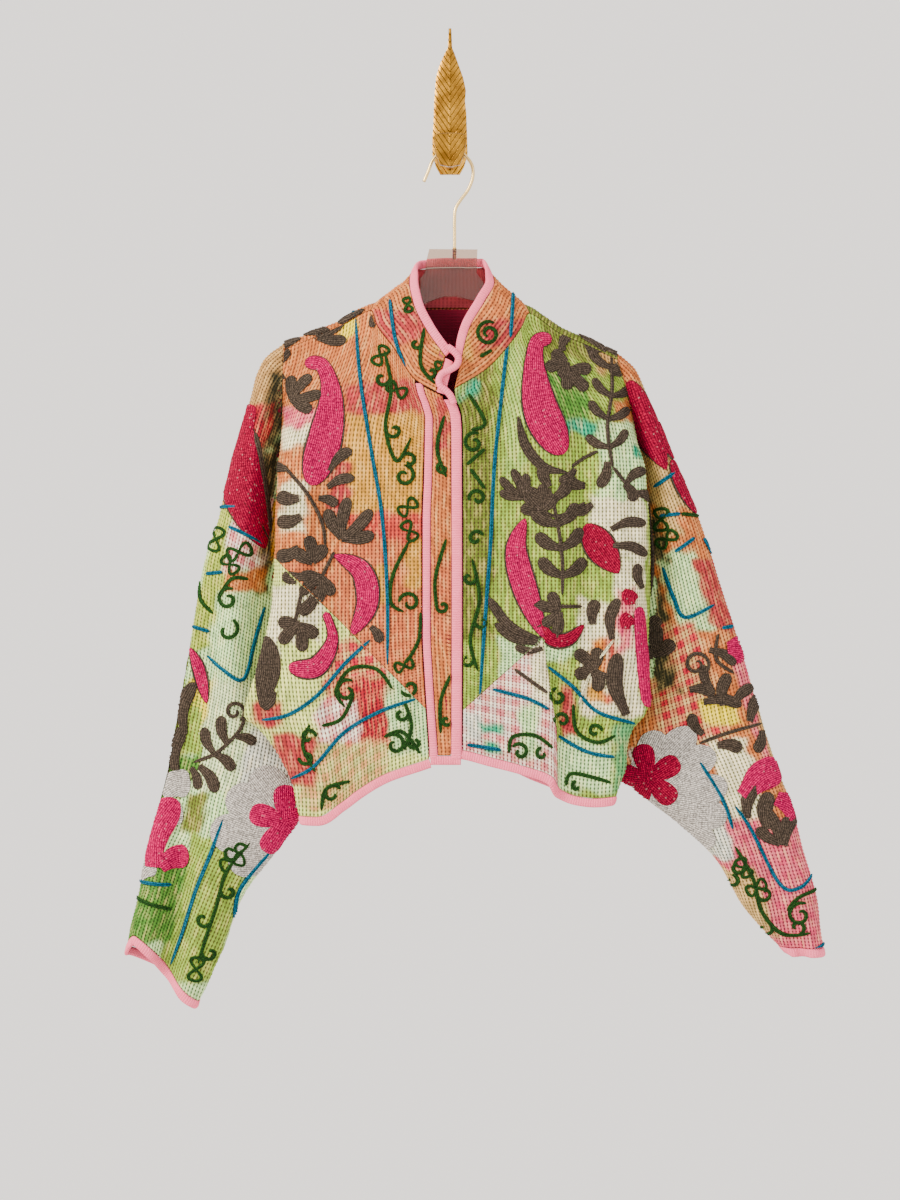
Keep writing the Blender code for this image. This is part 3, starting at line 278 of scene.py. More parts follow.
BACK_HEM = """
x z; -175 -760; -146 -756; -100 -732; -50 -704; 0 -690; 50 -700; 100 -722; 158 -740; 185 -741
"""
RIGHT_FOLDS = """
x_top z_top x_low z_low half_width lift; -158 -300 -166 -560 13 -5; -128 -290 -120 -640 22 3.5
-70 -330 -60 -690 26 -3; -166 -590 -128 -740 16 -5
"""
LEFT_FOLDS = """
x_top z_top x_low z_low half_width lift; 176 -320 196 -600 14 -6; 146 -330 152 -690 15 6
110 -300 128 -560 22 -3; 60 -330 52 -640 26 3; 172 -560 176 -690 16 -7
"""
PLEAT_LINE = "z x; -569 101; -670 116; -760 118"
PLEAT_TOP = -569.0
PLEAT_LIFT = 4.5
PLEAT_SOFT = 5.0
RIGHT_PANEL_CUT = ((-10, -662), (-121, -549), (-190, -483), (-260, -450), (-260, -800), (-10, -800))
LEFT_PANEL_CUT = ((5, -655), (15, -646), (101, -569), (116, -670), (118, -760), (118, -800), (5, -800))

COLLAR = """
t x y z; -1 -5 -98 -262; -0.8 -26 -93 -232; -0.62 -40 -84 -203; -0.45 -45 -66 -176; -0.34 -43 -50 -164
-0.22 -33 -38 -159; 0 0 -32 -157; 0.22 35 -38 -157; 0.34 45 -50 -163; 0.45 49 -66 -177; 0.62 38 -82 -200
0.8 21 -90 -231; 1 11 -97 -270
"""
COLLAR_BACK = 0.45
NECK_POINT = 0.47
RIGHT_OVERRUN = -0.13
STRIP_LINE = """
z x; -291 -34; -300 -32; -315 -26.5; -330 -23; -395 -24; -440 -25.5; -560 -25.5; -613 -23; -690 -18
-700 -17.5
"""
STRIP_HEIGHTS = (-291.0, -700.0)
EDGE_WIDTH = 11.5
EDGE_THICK = 5.2
EDGE_LINE = """
z x; -308 -2; -316 2.5; -328 6; -345 7; -520 7.5; -700 7
"""
EDGE_HEIGHTS = (-309.0, -700.0)
FRONT_EDGE_LEFT = 14.0
PLACKET_TOP = """
p z; 0 -294.5; 0.5 -300; 1 -305
"""

# %% Smooth lines through the tables


def smooth(value):
    """Ease from 0 to 1."""
    t = np.clip(value, 0.0, 1.0)
    return t * t * (3.0 - 2.0 * t)


def rows_of(text):
    """The words of each row of a table."""
    return [row.split() for row in text.strip().replace("\n", ";").split(";")]


def numbers(text):
    """The rows of a table of numbers, by the names in its first row."""
    names, *rows = rows_of(text)
    return [dict(zip(names, map(float, row))) for row in rows]


def track(text, name):
    """A smooth line through one column of a table against its first, with no overshoot."""
    rows = numbers(text)
    first = next(iter(rows[0]))
    xs, ys = np.array(sorted((row[first], row[name]) for row in rows)).T
    steps = np.diff(xs)
    slopes = np.diff(ys) / steps
    product = slopes[:-1] * slopes[1:]
    total = slopes[:-1] + slopes[1:]
    inner = np.where(product > 0, 2 * product / np.where(total == 0, 1, total), 0.0)
    ends = np.concatenate((slopes[:1], inner, slopes[-1:]))

    def value(x):
        x = np.clip(x, xs[0], xs[-1])
        k = np.clip(np.searchsorted(xs, x) - 1, 0, len(xs) - 2)
        step = steps[k]
        t = (x - xs[k]) / step
        rising = ends[k] * step * t * (1 - t) ** 2 - ends[k + 1] * step * t * t * (1 - t)
        return ys[k] * (1 + 2 * t) * (1 - t) ** 2 + ys[k + 1] * t * t * (3 - 2 * t) + rising

    return value


def tracks(text):
    return {name: track(text, name) for name in rows_of(text)[0][1:]}


SIDES = {"right": tracks(RIGHT_SIDE), "left": tracks(LEFT_SIDE)}
SLEEVES = {"right": tracks(RIGHT_SLEEVE), "left": tracks(LEFT_SLEEVE)}
TOPS = {"right": tracks(RIGHT_TOP), "left": tracks(LEFT_TOP)}
HEMS = {"right": track(RIGHT_HEM, "z"), "left": track(LEFT_HEM, "z"), "back": track(BACK_HEM, "z")}
SHOULDER = track(SHOULDER_LINE, "z")
BACK, DEPTH, NECK = tracks(BACK_TOP), tracks(DEPTHS), tracks(COLLAR)
STRIP, EDGE, PLEAT = track(STRIP_LINE, "x"), track(EDGE_LINE, "x"), track(PLEAT_LINE, "x")
PLACKET_HEIGHT = track(PLACKET_TOP, "z")
UNDERARM = {"right": 0.668, "left": 0.623}
SIGN = {"right": -1.0, "left": 1.0}
FOLDS = {"right": numbers(RIGHT_FOLDS), "left": numbers(LEFT_FOLDS)}

# %% [markdown]
# The fronts are a face that folds back to the armhole and the side seam, with a few soft folds and
# the lapped pleat of the left lower panel. Each surface takes two shares, across and down, and gives
# places in space. Working in shares keeps the seams of neighbouring pieces on one line.

# %% Surfaces of the fronts
FOLD_FADE = 0.25
PLEAT_RISE = 20.0
PLEAT_GROW = 70.0
PLEAT_REACH = 6.0
CHEST_HALF = 190.0
FACE_SHARE = 0.70
RIDGE_SET = 15.0
TURN_OUT = 3.0
NECK_SHARE = 0.40
TOP_UNTIL = 0.30
HEM_FROM = 0.55


def folds_at(side, x, z):
    """Push in depth of the soft folds at places on a front."""
    push = np.zeros(np.broadcast(x, z).shape)
    for fold in FOLDS[side]:
        share = (fold["z_top"] - z) / (fold["z_top"] - fold["z_low"])
        middle = fold["x_top"] + (fold["x_low"] - fold["x_top"]) * share
        fade = smooth(share / FOLD_FADE + 0.5) * smooth((1.0 - share) / FOLD_FADE + 0.5)
        push = push + fold["lift"] * fade * np.exp(-(((x - middle) / fold["half_width"]) ** 2))
    if side == "left":
        across = (x - PLEAT(z)) / PLEAT_SOFT
        near = np.exp(-((across / PLEAT_REACH) ** 2))
        grown = smooth((PLEAT_TOP + PLEAT_RISE - z) / PLEAT_GROW)
        push = push + PLEAT_LIFT * np.tanh(across) * near * grown
    return push


def front_depth(side, x, z):
    lean = DEPTH["side"](z) * (np.abs(x) / CHEST_HALF) ** 2
    return DEPTH["front"](z) + lean + folds_at(side, x, z)


def front_section(side, p, z):
    """Places on a front at given heights: its face, then the fold that turns back to the seam."""
    p, z = np.broadcast_arrays(p, z)
    edges = SIDES[side]
    beside_strip = STRIP(z) - STRIP_WIDTH / 2 - 3 * GAP
    beside_edge = np.minimum(FRONT_EDGE_LEFT, EDGE(z) + EDGE_WIDTH / 2 + 3 * GAP)
    start = beside_edge if side == "left" else beside_strip
    ridge = edges["ridge"](z)
    turn_x = ridge - SIGN[side] * RIDGE_SET
    face_x = start + (turn_x - start) * p / FACE_SHARE
    face_y = front_depth(side, face_x, z)
    t = np.clip((p - FACE_SHARE) / (1 - FACE_SHARE), 0, 1)
    seam_x = edges["seam"](z)
    seam_y = edges["seam_front"](z)
    first_y = front_depth(side, turn_x, z)
    inward = seam_x + SIGN[side] * TURN_OUT
    reach = (ridge - 0.125 * (turn_x + seam_x) - 0.375 * inward) / 0.375
    third_y = np.minimum(edges["turn"](z), seam_y)
    a = (1 - t) ** 3
    b = 3 * t * (1 - t) ** 2
    c = 3 * t * t * (1 - t)
    fold_x = turn_x * a + reach * b + inward * c + seam_x * t ** 3
    fold_y = first_y * a + first_y * b + third_y * c + seam_y * t ** 3
    on_face = p <= FACE_SHARE
    return np.stack((np.where(on_face, face_x, fold_x), np.where(on_face, face_y, fold_y), z), axis=-1)


def row_height(q, top, hem):
    """Heights of rows, level in the middle and following the top line and the hem at their ends."""
    level = FRONT_TOP_REFERENCE + (FRONT_HEM_REFERENCE - FRONT_TOP_REFERENCE) * q
    near_top = 1 - smooth(q / TOP_UNTIL)
    near_hem = smooth((q - HEM_FROM) / (1 - HEM_FROM))
    return level + near_top * (top - FRONT_TOP_REFERENCE) + near_hem * (hem - FRONT_HEM_REFERENCE)


def front_point(side, p, q):
    """Places on a front: p from the front edge to the seam, q from the top line to the hem."""
    p, q = np.broadcast_arrays(p, q)
    top_x = TOPS[side]["x"](p)
    top_y = TOPS[side]["y"](p)
    top_z = np.where(p >= NECK_SHARE, SHOULDER(top_x), TOPS[side]["z"](p))
    near_top = 1 - smooth(q / TOP_UNTIL)
    level = row_height(q, FRONT_TOP_REFERENCE, FRONT_HEM_REFERENCE)
    z = row_height(q, top_z, HEMS[side](front_section(side, p, level)[..., 0]))
    point = front_section(side, p, z)
    top = front_section(side, p, top_z)
    point[..., 0] += (top_x - top[..., 0]) * near_top
    point[..., 1] += (top_y - top[..., 1]) * near_top
    return point


# %% Surface of the back
ROLL_LENGTH = 37.0
ROLL_SHARE = 0.09
SIDE_SHARE = 0.20
BACK_WAVE = 2.0
BACK_WAVE_X = 31.0
BACK_WAVE_TOP = -300.0
BACK_WAVE_GROW = 200.0
BACK_SETTLE = 70.0


def back_x(p, z):
    right = SIDES["right"]["seam"](z)
    left = SIDES["left"]["seam"](z)
    return right + (left - right) * (p + 1) / 2


def back_depth(x, z, p):
    """Depth of the back, which comes forward at its seams."""
    seam = np.where(x < 0, SIDES["right"]["seam_back"](z), SIDES["left"]["seam_back"](z))
    edge = smooth((np.abs(p) - 1 + SIDE_SHARE) / SIDE_SHARE)
    wave = BACK_WAVE * np.sin(x / BACK_WAVE_X) * smooth((BACK_WAVE_TOP - z) / BACK_WAVE_GROW)
    return (DEPTH["back"](z) + wave) * (1 - edge) + seam * edge


def back_point(p, q):
    """Places on the back: p from the right seam to the left, q from the shoulder or neck seam down."""
    p, q = np.broadcast_arrays(p, q)
    seam_x = BACK["x"](p)
    seam_z = SHOULDER(seam_x)
    turn = BACK["turn"](p)
    covered = ROLL_LENGTH * turn
    run = ROLL_LENGTH * np.minimum(1.0, q / ROLL_SHARE)
    angle = math.pi * turn * (1 - run / np.maximum(covered, 1e-6))
    roll_y = HANG_Y + SHOULDER_HALF * np.cos(angle)
    roll_z = seam_z + SHOULDER_RISE * np.sin(angle)
    rest = np.maximum(0.0, (q - ROLL_SHARE) / (1 - ROLL_SHARE))
    near_top = 1 - smooth(rest / TOP_UNTIL)
    level = row_height(rest, FRONT_TOP_REFERENCE, FRONT_HEM_REFERENCE)
    low_z = row_height(rest, seam_z - (ROLL_LENGTH - covered), HEMS["back"](back_x(p, level)))
    z = np.where(q <= ROLL_SHARE, seam_z - (run - covered), low_z)
    x = back_x(p, z) + (seam_x - back_x(p, seam_z)) * near_top
    start = HANG_Y + SHOULDER_HALF
    settle = smooth((seam_z - z) / BACK_SETTLE)
    y = back_depth(x, z, p) + (start - back_depth(seam_x, seam_z, p)) * (1 - settle)
    rolled = (run < covered) & (q < ROLL_SHARE)
    places = (np.where(rolled, seam_x, x), np.where(rolled, roll_y, y), np.where(rolled, roll_z, z))
    return np.stack(places, -1)


# %% Surfaces of the sleeves, the collar and the placket
VALLEY_FROM = 0.60
CLOSING = 0.12
CREASE_HALF = 0.16
SQUARE_FROM = 0.12
UNDERARM_EASE = 1.0
CLOSED_ROUND = 0.85
CUFF_SOFT = 0.24
CUFF_FROM = 0.80
CUFF_STEP = {"right": 21.0, "left": 0.0}
COLLAR_SWELL_X = 0.02
COLLAR_SWELL_Y = 0.03
PLACKET_FOOT_X = -8.0


def sleeve_point(side, u, s):
    """Places on a sleeve: u from the front seam round the outer edge to the back seam, s down it."""
    u, s = np.broadcast_arrays(u, s)
    row = {name: line(s) for name, line in SLEEVES[side].items()}
    above = s < UNDERARM[side]
    edges = SIDES[side]
    under_x = np.where(above, edges["seam"](row["under_z"]), row["under_x"])
    seam_front = np.where(above, edges["seam_front"](row["under_z"]), row["mid"])
    seam_back = np.where(above, edges["seam_back"](row["under_z"]), row["mid"])
    closed = smooth((s - UNDERARM[side] + CLOSING) / CLOSING)
    w = np.abs(u)
    a = np.cos(w * math.pi / 2) * (1 - closed) + (1 + np.cos(math.pi * w)) / 2 * closed
    square = smooth(s / SQUARE_FROM)
    rise_closed = np.maximum(0.0, np.sin(math.pi * w)) ** CLOSED_ROUND
    valley = smooth((w - VALLEY_FROM) / (1 - VALLEY_FROM))
    rise_open = np.sin(w * math.pi / 2) ** (1 - 0.25 * square)
    open_front = row["mid"] + (row["front"] - row["mid"]) * rise_open * (1 - valley)
    open_front = open_front + (seam_front - row["mid"]) * valley
    closed_front = row["mid"] + (row["front"] - row["mid"]) * rise_closed
    groove = row["sink"] * np.exp(-(((a - row["crease"]) / CREASE_HALF) ** 2))
    step = smooth((s - CUFF_FROM) / (1 - CUFF_FROM)) * CUFF_STEP[side]
    lift = step * np.tanh((a - row["crease"]) / CUFF_SOFT) * smooth(w / 0.25) * smooth((1 - w) / 0.15)
    flat = np.sin(w * math.pi / 2) ** (1 - 0.2 * square)
    open_back = row["mid"] + (seam_back - row["mid"]) * flat
    closed_back = row["mid"] + (row["back"] - row["mid"]) * rise_closed
    front_y = open_front * (1 - closed) + closed_front * closed + groove
    back_y = open_back * (1 - closed) + closed_back * closed
    under_x = under_x + SIGN[side] * UNDERARM_EASE * closed
    x = under_x + (row["outer_x"] - under_x) * a
    z = row["under_z"] + (row["outer_z"] - row["under_z"]) * a + np.where(u < 0, lift, 0.0)
    return np.stack((x, np.where(u < 0, front_y, back_y), z), axis=-1)


def collar_point(t, w):
    """Places on the collar: t round the neck, w from the seam to the bound edge."""
    t, w = np.broadcast_arrays(t, w)
    on_back = np.abs(t) <= COLLAR_BACK
    back = back_point(np.clip(NECK_POINT * t / COLLAR_BACK, -NECK_POINT, NECK_POINT), np.zeros(t.shape))
    ahead = np.clip((np.abs(t) - COLLAR_BACK) / (1 - COLLAR_BACK), 0, 1)
    seam = []
    for k, axis in enumerate("xyz"):
        right = TOPS["right"][axis](NECK_SHARE + (RIGHT_OVERRUN - NECK_SHARE) * ahead)
        left = TOPS["left"][axis](NECK_SHARE * (1 - ahead))
        seam.append(np.where(on_back, back[..., k], np.where(t < 0, right, left)))
    seam = np.stack(seam, axis=-1)
    top = np.stack([NECK[axis](t) for axis in "xyz"], axis=-1)
    swell = np.stack((seam[..., 0] * COLLAR_SWELL_X, (seam[..., 1] - HANG_Y) * COLLAR_SWELL_Y, 0 * t), -1)
    return seam + (top - seam) * w[..., None] + swell * np.sin(math.pi * w)[..., None]


def placket_point(p, q):
    """Places on the placket band, from its pink strip to the bound edge."""
    p, q = np.broadcast_arrays(p, q)
    z_top = PLACKET_HEIGHT(p)
    z = z_top + (HEMS["right"](PLACKET_FOOT_X) - z_top) * q
    start = STRIP(z) + STRIP_WIDTH / 2 + GAP
    x = start + (EDGE(z) - EDGE_WIDTH / 2 - GAP - start) * p
    return np.stack((x, front_depth("right", x, z) - PLACKET_RAISE, z), axis=-1)


# %% [markdown]
# The quilting is hand running stitch through layers of old cotton. It pulls the cloth into a waffle of
# cells about 4 mm wide, a dark pit at each stitch and a soft puff between. Each panel is a thin shell
# on its own surface: a grid that steps half a cell, so that pits and puffs both fall on its points,
# over a plainer inside three times as coarse. Where a row is shorter than the grid, its last points
# close up on the seam and are merged, so the cells stay the same size all over a tapering piece.

# %% Quilted shells
CELL = 4.2
STEP = CELL / 2
PUFF = 1.05            # from the bottom of a stitch to the top of a puff
PUFF_SINK = 0.45       # share of a puff that lies below the cloth's own surface
SEAM_FADE = 5.0        # the quilting flattens over this distance from a seam
RECEDE = 1.3           # the inside stops this far short of the seams
INSIDE_EVERY = 3
THINNEST = 0.4
FOLD_SHARE = 0.35      # share of a fold's radius that the cloth may fill
SHARE = 0.001          # share of a surface stepped over to find its direction
LONG_WAVE = 34.0       # the cloth is uneven over these two lengths
SHORT_WAVE = 13.0
MERGE = 0.02 * MM
DENSE = 241


def unit(vectors):
    return vectors / np.maximum(np.linalg.norm(vectors, axis=-1, keepdims=True), 1e-9)


def puff(u, v):
    """Height of the quilting, 0 at a stitch and 1 in the middle of a cell, over millimetres."""
    a = np.abs(np.sin(np.pi * u / CELL))
    b = np.abs(np.sin(np.pi * v / CELL))
    return (a * b + 0.35 * (a + b)) / 1.7


def wander(places, length, seed):
    """Smooth random numbers of about -1 to 1 over places, changing over the given length."""
    rng = np.random.default_rng(seed)
    total = np.zeros(places.shape[:-1])
    for _ in range(5):
        direction = unit(rng.normal(size=3))
        total = total + np.sin(places @ direction * (2 * math.pi / length) + rng.uniform(0, 2 * math.pi))
    return total / 3


def directions(surface, u, v, span_u, span_v):
    """Unit directions across, down and out of a surface at arrays of places."""
    u_low, u_high = np.clip(u - SHARE, *span_u), np.clip(u + SHARE, *span_u)
    v_low, v_high = np.clip(v - SHARE, *span_v), np.clip(v + SHARE, *span_v)
    across = unit(surface(u_high, v) - surface(u_low, v))
    down = unit(surface(u, v_high) - surface(u, v_low))
    return across, down, unit(np.cross(across, down))


def even_columns(surface, span_u, vs):
    """Shares across each row that lie half a cell apart, and their distances from share 0."""
    shares = np.linspace(*span_u, DENSE)
    line = surface(shares[None, :], vs[:, None])
    steps = np.linalg.norm(np.diff(line, axis=1), axis=-1)
    run = np.concatenate((np.zeros((len(vs), 1)), np.cumsum(steps, 1)), 1)
    run = run - np.array([np.interp(0.0, shares, row) for row in run])[:, None]
    before = math.ceil(-run.min() / STEP)
    after = math.ceil(run.max() / STEP)
    after += -(before + after) % INSIDE_EVERY
    marks = np.arange(-before, after + 1) * STEP
    places = np.clip(marks[None, :], run[:, :1], run[:, -1:])
    us = np.array([np.interp(row, known, shares) for row, known in zip(places, run)])
    return us, places


# A piece of the jacket's cloth, and the smooth surface that its embroidery lies on
Panel = namedtuple("Panel", "object tree")


def numbered(rows, columns, start=0):
    return start + np.arange(rows * columns).reshape(rows, columns)


def quads(index, flipped=False):
    """The faces between neighbouring rows and columns of numbered points."""
    corners = [index[:-1, :-1], index[:-1, 1:], index[1:, 1:], index[1:, :-1]]
    if flipped:
        corners[1], corners[3] = corners[3], corners[1]
    return np.stack(corners, -1).reshape(-1, 4).tolist()


def mesh_object(name, points, faces, materials, uv=None, face_material=None):
    """A mesh from millimetre points, with a UV for each point and a material for each face."""
    mesh = bpy.data.meshes.new(name)
    mesh.from_pydata((np.asarray(points) * MM).tolist(), [], faces)
    for item in materials:
        mesh.materials.append(item)
    if uv is not None:
        corner = np.zeros(len(mesh.loops), dtype=np.int32)
        mesh.loops.foreach_get("vertex_index", corner)
        layer = mesh.uv_layers.new(name="UVMap")
        layer.data.foreach_set("uv", np.asarray(uv, dtype=np.float32)[corner].ravel())
    if face_material is not None:
        mesh.polygons.foreach_set("material_index", np.asarray(face_material, dtype=np.int32))
    made = bpy.data.objects.new(name, mesh)
    bpy.context.scene.collection.objects.link(made)
    return made


def clean(mesh, merge=MERGE, drop=MERGE / 2):
    """Merge doubled points, drop what they flattened, and turn the faces outwards."""
    bm = bmesh.new()
    bm.from_mesh(mesh)
    if merge:
        bmesh.ops.remove_doubles(bm, verts=bm.verts, dist=merge)
    if drop:
        bmesh.ops.dissolve_degenerate(bm, edges=bm.edges, dist=drop)
    bmesh.ops.recalc_face_normals(bm, faces=bm.faces)
    bm.to_mesh(mesh)
    bm.free()


def wall_thickness(grid, normals):
    """The cloth's thickness, less where it folds more tightly than its thickness allows."""
    turned = np.linalg.norm(np.diff(normals, axis=1), axis=-1)
    stepped = np.linalg.norm(np.diff(grid, axis=1), axis=-1)
    radius = np.pad(stepped / np.maximum(turned, 1e-4), ((0, 0), (0, 1)), mode="edge")
    thick = np.clip(FOLD_SHARE * radius, THINNEST, CLOTH)
    for shift in (-2, -1, 1, 2):
        thick = np.minimum(thick, np.roll(thick, shift, axis=1))
    return thick


def quilted(name, surface, span_u, span_v, length, outward, seed):
    """One quilted shell. length is its run down in millimetres, outward a rough direction at its middle."""
    count = INSIDE_EVERY * round(length / STEP / INSIDE_EVERY) + 1
    vs = np.linspace(*span_v, count)
    us, run_u = even_columns(surface, span_u, vs)
    v_grid = np.broadcast_to(vs[:, None], us.shape)
    run_v = np.broadcast_to(np.arange(count)[:, None] * STEP, us.shape)
    grid = surface(us, v_grid)
    across, down, normals = directions(surface, us, v_grid, span_u, span_v)
    middle = (count // 2, us.shape[1] // 2)
    if np.dot(normals[middle], outward) < 0:
        normals = -normals
    to_side = np.minimum(run_u - run_u[:, :1], run_u[:, -1:] - run_u)
    to_end = np.minimum(run_v, run_v[-1] - run_v)
    fade = smooth(np.minimum(to_side, to_end) / SEAM_FADE)
    uneven = 0.5 * wander(grid, LONG_WAVE, seed) + 0.25 * wander(grid, SHORT_WAVE, seed + 1)
    carrier = grid + normals * (uneven * fade)[..., None]
    height = PUFF * (puff(run_u, run_v) - PUFF_SINK) + uneven
    outer = grid + normals * (height * fade)[..., None]
    inner = grid - normals * wall_thickness(grid, normals)[..., None]
    inner[:, 0] += across[:, 0] * RECEDE
    inner[:, -1] -= across[:, -1] * RECEDE
    inner[0] += down[0] * RECEDE
    inner[-1] -= down[-1] * RECEDE
    inner = inner[::INSIDE_EVERY, ::INSIDE_EVERY]
    uv = np.stack((run_u, run_v), -1) / CELL
    points = np.concatenate((outer.reshape(-1, 3), inner.reshape(-1, 3)))
    all_uv = np.concatenate((uv.reshape(-1, 2), uv[::INSIDE_EVERY, ::INSIDE_EVERY].reshape(-1, 2)))
    faces, kinds = shell_faces(grid.shape[:2])
    made = mesh_object(name, points, faces, (cotton, lining), all_uv, kinds)
    clean(made.data)
    made.data.shade_smooth()
    print(name, "faces:", len(made.data.polygons))
    flat = quads(numbered(*grid.shape[:2]))
    return Panel(made, BVHTree.FromPolygons(carrier.reshape(-1, 3).tolist(), flat))


def shell_faces(shape):
    """Faces of a closed shell: the outer grid, the coarse inner grid and the rims between them."""
    rows, columns = shape
    outer = numbered(rows, columns)
    inner = numbered((rows - 1) // INSIDE_EVERY + 1, (columns - 1) // INSIDE_EVERY + 1, rows * columns)
    faces = quads(outer)
    inside = quads(inner, flipped=True)
    kinds = [0] * len(faces) + [1] * len(inside)
    faces += inside
    rims = [(outer[k], inner[k]) for k in (0, -1)] + [(outer[:, k], inner[:, k]) for k in (0, -1)]
    for fine, coarse in rims:
        for k in range(len(coarse) - 1):
            run = fine[k * INSIDE_EVERY:(k + 1) * INSIDE_EVERY + 1].tolist()
            faces.append(run + [int(coarse[k + 1]), int(coarse[k])])
            kinds.append(0)
    return faces, kinds


# %% [markdown]
# All the cloth shares one cotton. Its colours lie on the points of each panel, as a ground, a check that
# may be woven over it, and a darker colour for the pits, which is the thread there and also painted shade
# in the stitches' dimples. The same colour runs as painted shade along the groove between cords of puffs.
# The pattern runs on the quilting's own UV, where one unit is one cell, so every stitch meets its pit and
# a check keeps to its three or four cells.

# %% Quilted cotton
PIT_FULL = 0.14        # share of a cell from a stitch that is all pit colour, thread and painted shade
PIT_END = 0.42
PIT_ACROSS = 1.2       # a pit is longer down the cloth than across it
PIT_DOWN = 0.72
GROOVE_SHADE = 0.5           # strength of the painted shade along the groove between two cords of puffs
CHECK_PERIOD = 4.0     # cells
STREAK_WIDE = 0.9      # turns of the streaks' noise in a cell, across and down
STREAK_LONG = 0.2

cotton, tree, shader = new_material("kantha_cotton", roughness=0.9, specular_ior_level=0.2)
ground = add(tree, "Attribute", attribute_name="ground")
check = add(tree, "Attribute", attribute_name="check")
pit_colour = add(tree, "Attribute", attribute_name="pits")
cells = add(tree, "SeparateXYZ", add(tree, "UVMap", uv_map="UVMap"))
place = add(tree, "TexCoord").outputs["Object"]
near = [add(tree, "Math", cells.outputs[axis], 0.5, operation="PINGPONG") for axis in "XY"]
bands = []
for axis in "XY":
    wave = add(tree, "Math", cells.outputs[axis], CHECK_PERIOD / 2, operation="PINGPONG")
    bands.append(add(tree, "MapRange", wave, 0.85, 1.15, **SOFTLY))
both = add(tree, "Math", bands[0], bands[1], operation="ADD")
woven = add(tree, "Math", both, check.outputs["Alpha"], operation="MULTIPLY")
share = add(tree, "Math", woven, 0.5, operation="MULTIPLY")
colour = add(tree, "Mix", share, ground, check, data_type="RGBA")
wide = add(tree, "Math", cells.outputs[0], STREAK_WIDE, operation="MULTIPLY")
long = add(tree, "Math", cells.outputs[1], STREAK_LONG, operation="MULTIPLY")
streaks = add(tree, "CombineXYZ", wide, long)
drawn = add(tree, "TexNoise", streaks, Scale=1.0, Detail=3.0, Roughness=0.6)
darker = add(tree, "MapRange", drawn, 0.48, 0.68, 0.0, 0.42)
colour = add(tree, "Mix", darker, colour, pit_colour, data_type="RGBA")
paler = add(tree, "MapRange", drawn, 0.32, 0.52, 0.36, 0.0)
colour = add(tree, "Mix", paler, colour, linear("#dcbc78"), data_type="RGBA")
reach_across = add(tree, "Math", near[0], PIT_ACROSS, operation="MULTIPLY")
reach_down = add(tree, "Math", near[1], PIT_DOWN, operation="MULTIPLY")
reach = add(tree, "VectorMath", add(tree, "CombineXYZ", reach_across, reach_down), operation="LENGTH")
ragged = add(tree, "TexNoise", place, Scale=420.0, Detail=2.0)
loose = add(tree, "Math", ragged, 0.14, -0.07, operation="MULTIPLY_ADD")
edge = add(tree, "Math", reach.outputs["Value"], loose, operation="ADD")
# The pits are dark partly from the thread and partly as painted shade of the dimples. The groove line is
# painted shade.
pit_thread_and_shade = add(tree, "MapRange", edge, PIT_FULL, PIT_END, 0.95, 0.0, **SOFTLY)
groove = add(tree, "MapRange", near[0], 0.02, 0.22, GROOVE_SHADE, 0.0, **SOFTLY)
pit_thread_and_shade = add(tree, "Math", pit_thread_and_shade, groove, operation="MAXIMUM")
stitched_and_shaded = add(tree, "Mix", pit_thread_and_shade, colour, pit_colour, data_type="RGBA")
faded = add(tree, "TexNoise", place, Scale=28.0, Detail=5.0, Roughness=0.6)
fine = add(tree, "TexNoise", place, Scale=900.0, Detail=2.0)
light = add(tree, "MapRange", faded, 0.3, 0.7, 0.84, 1.08)
whole = add(tree, "VectorMath", add(tree, "UVMap", uv_map="UVMap"), operation="FLOOR")
each = add(tree, "TexWhiteNoise", whole, noise_dimensions="2D")
cell = add(tree, "MapRange", each, 0.0, 1.0, 0.82, 1.12)
both = add(tree, "Math", light, cell, operation="MULTIPLY")
grain = add(tree, "Math", fine, 0.24, both, operation="MULTIPLY_ADD")
worn = add(tree, "HueSaturation", Value=grain, Color=stitched_and_shaded)
across_cell = add(tree, "Math", near[0], near[1], operation="MULTIPLY")
high = add(tree, "Math", across_cell, 0.5, operation="POWER")
relief = add(tree, "Math", fine, 0.12, high, operation="MULTIPLY_ADD")
bump = add(tree, "Bump", Strength=0.55, Distance=1.3 * MM, Height=relief)
connect(tree, shader, {"Base Color": worn, "Normal": bump})
print("cotton nodes:", len(tree.nodes))

# %% [markdown]
# The inside shows at the neck, in the cuffs and past the fronts. It is plainer: rows of running stitch
# in long lines, over a lining that has kept more of its colour.

# %% Lining
lining, tree, shader = new_material("cotton_lining", roughness=0.9, specular_ior_level=0.2)
ground = add(tree, "Attribute", attribute_name="ground")
pit_colour = add(tree, "Attribute", attribute_name="pits")
cells = add(tree, "SeparateXYZ", add(tree, "UVMap", uv_map="UVMap"))
place = add(tree, "TexCoord").outputs["Object"]
row = add(tree, "Math", cells.outputs["Y"], 0.5, operation="PINGPONG")
line = add(tree, "MapRange", row, 0.05, 0.2, 0.55, 0.0, **SOFTLY)
dash = add(tree, "Math", cells.outputs["X"], 0.5, operation="PINGPONG")
broken = add(tree, "MapRange", dash, 0.12, 0.25, **SOFTLY)
stitch = add(tree, "Math", line, broken, operation="MULTIPLY")
stained = add(tree, "TexNoise", place, Scale=22.0, Detail=6.0)
light = add(tree, "MapRange", stained, 0.3, 0.7, 0.7, 1.1)
mixed = add(tree, "Mix", stitch, ground, pit_colour, data_type="RGBA")
worn = add(tree, "HueSaturation", Value=light, Color=mixed)
bump = add(tree, "Bump", Strength=0.5, Distance=1.0 * MM, Height=row)
connect(tree, shader, {"Base Color": worn, "Normal": bump})
print("lining nodes:", len(tree.nodes))

# %% [markdown]
# Now the panels themselves. Each is cut as the model cuts it, and printed with its real area, which
# gives the flat cloth that the maker would cut for it.

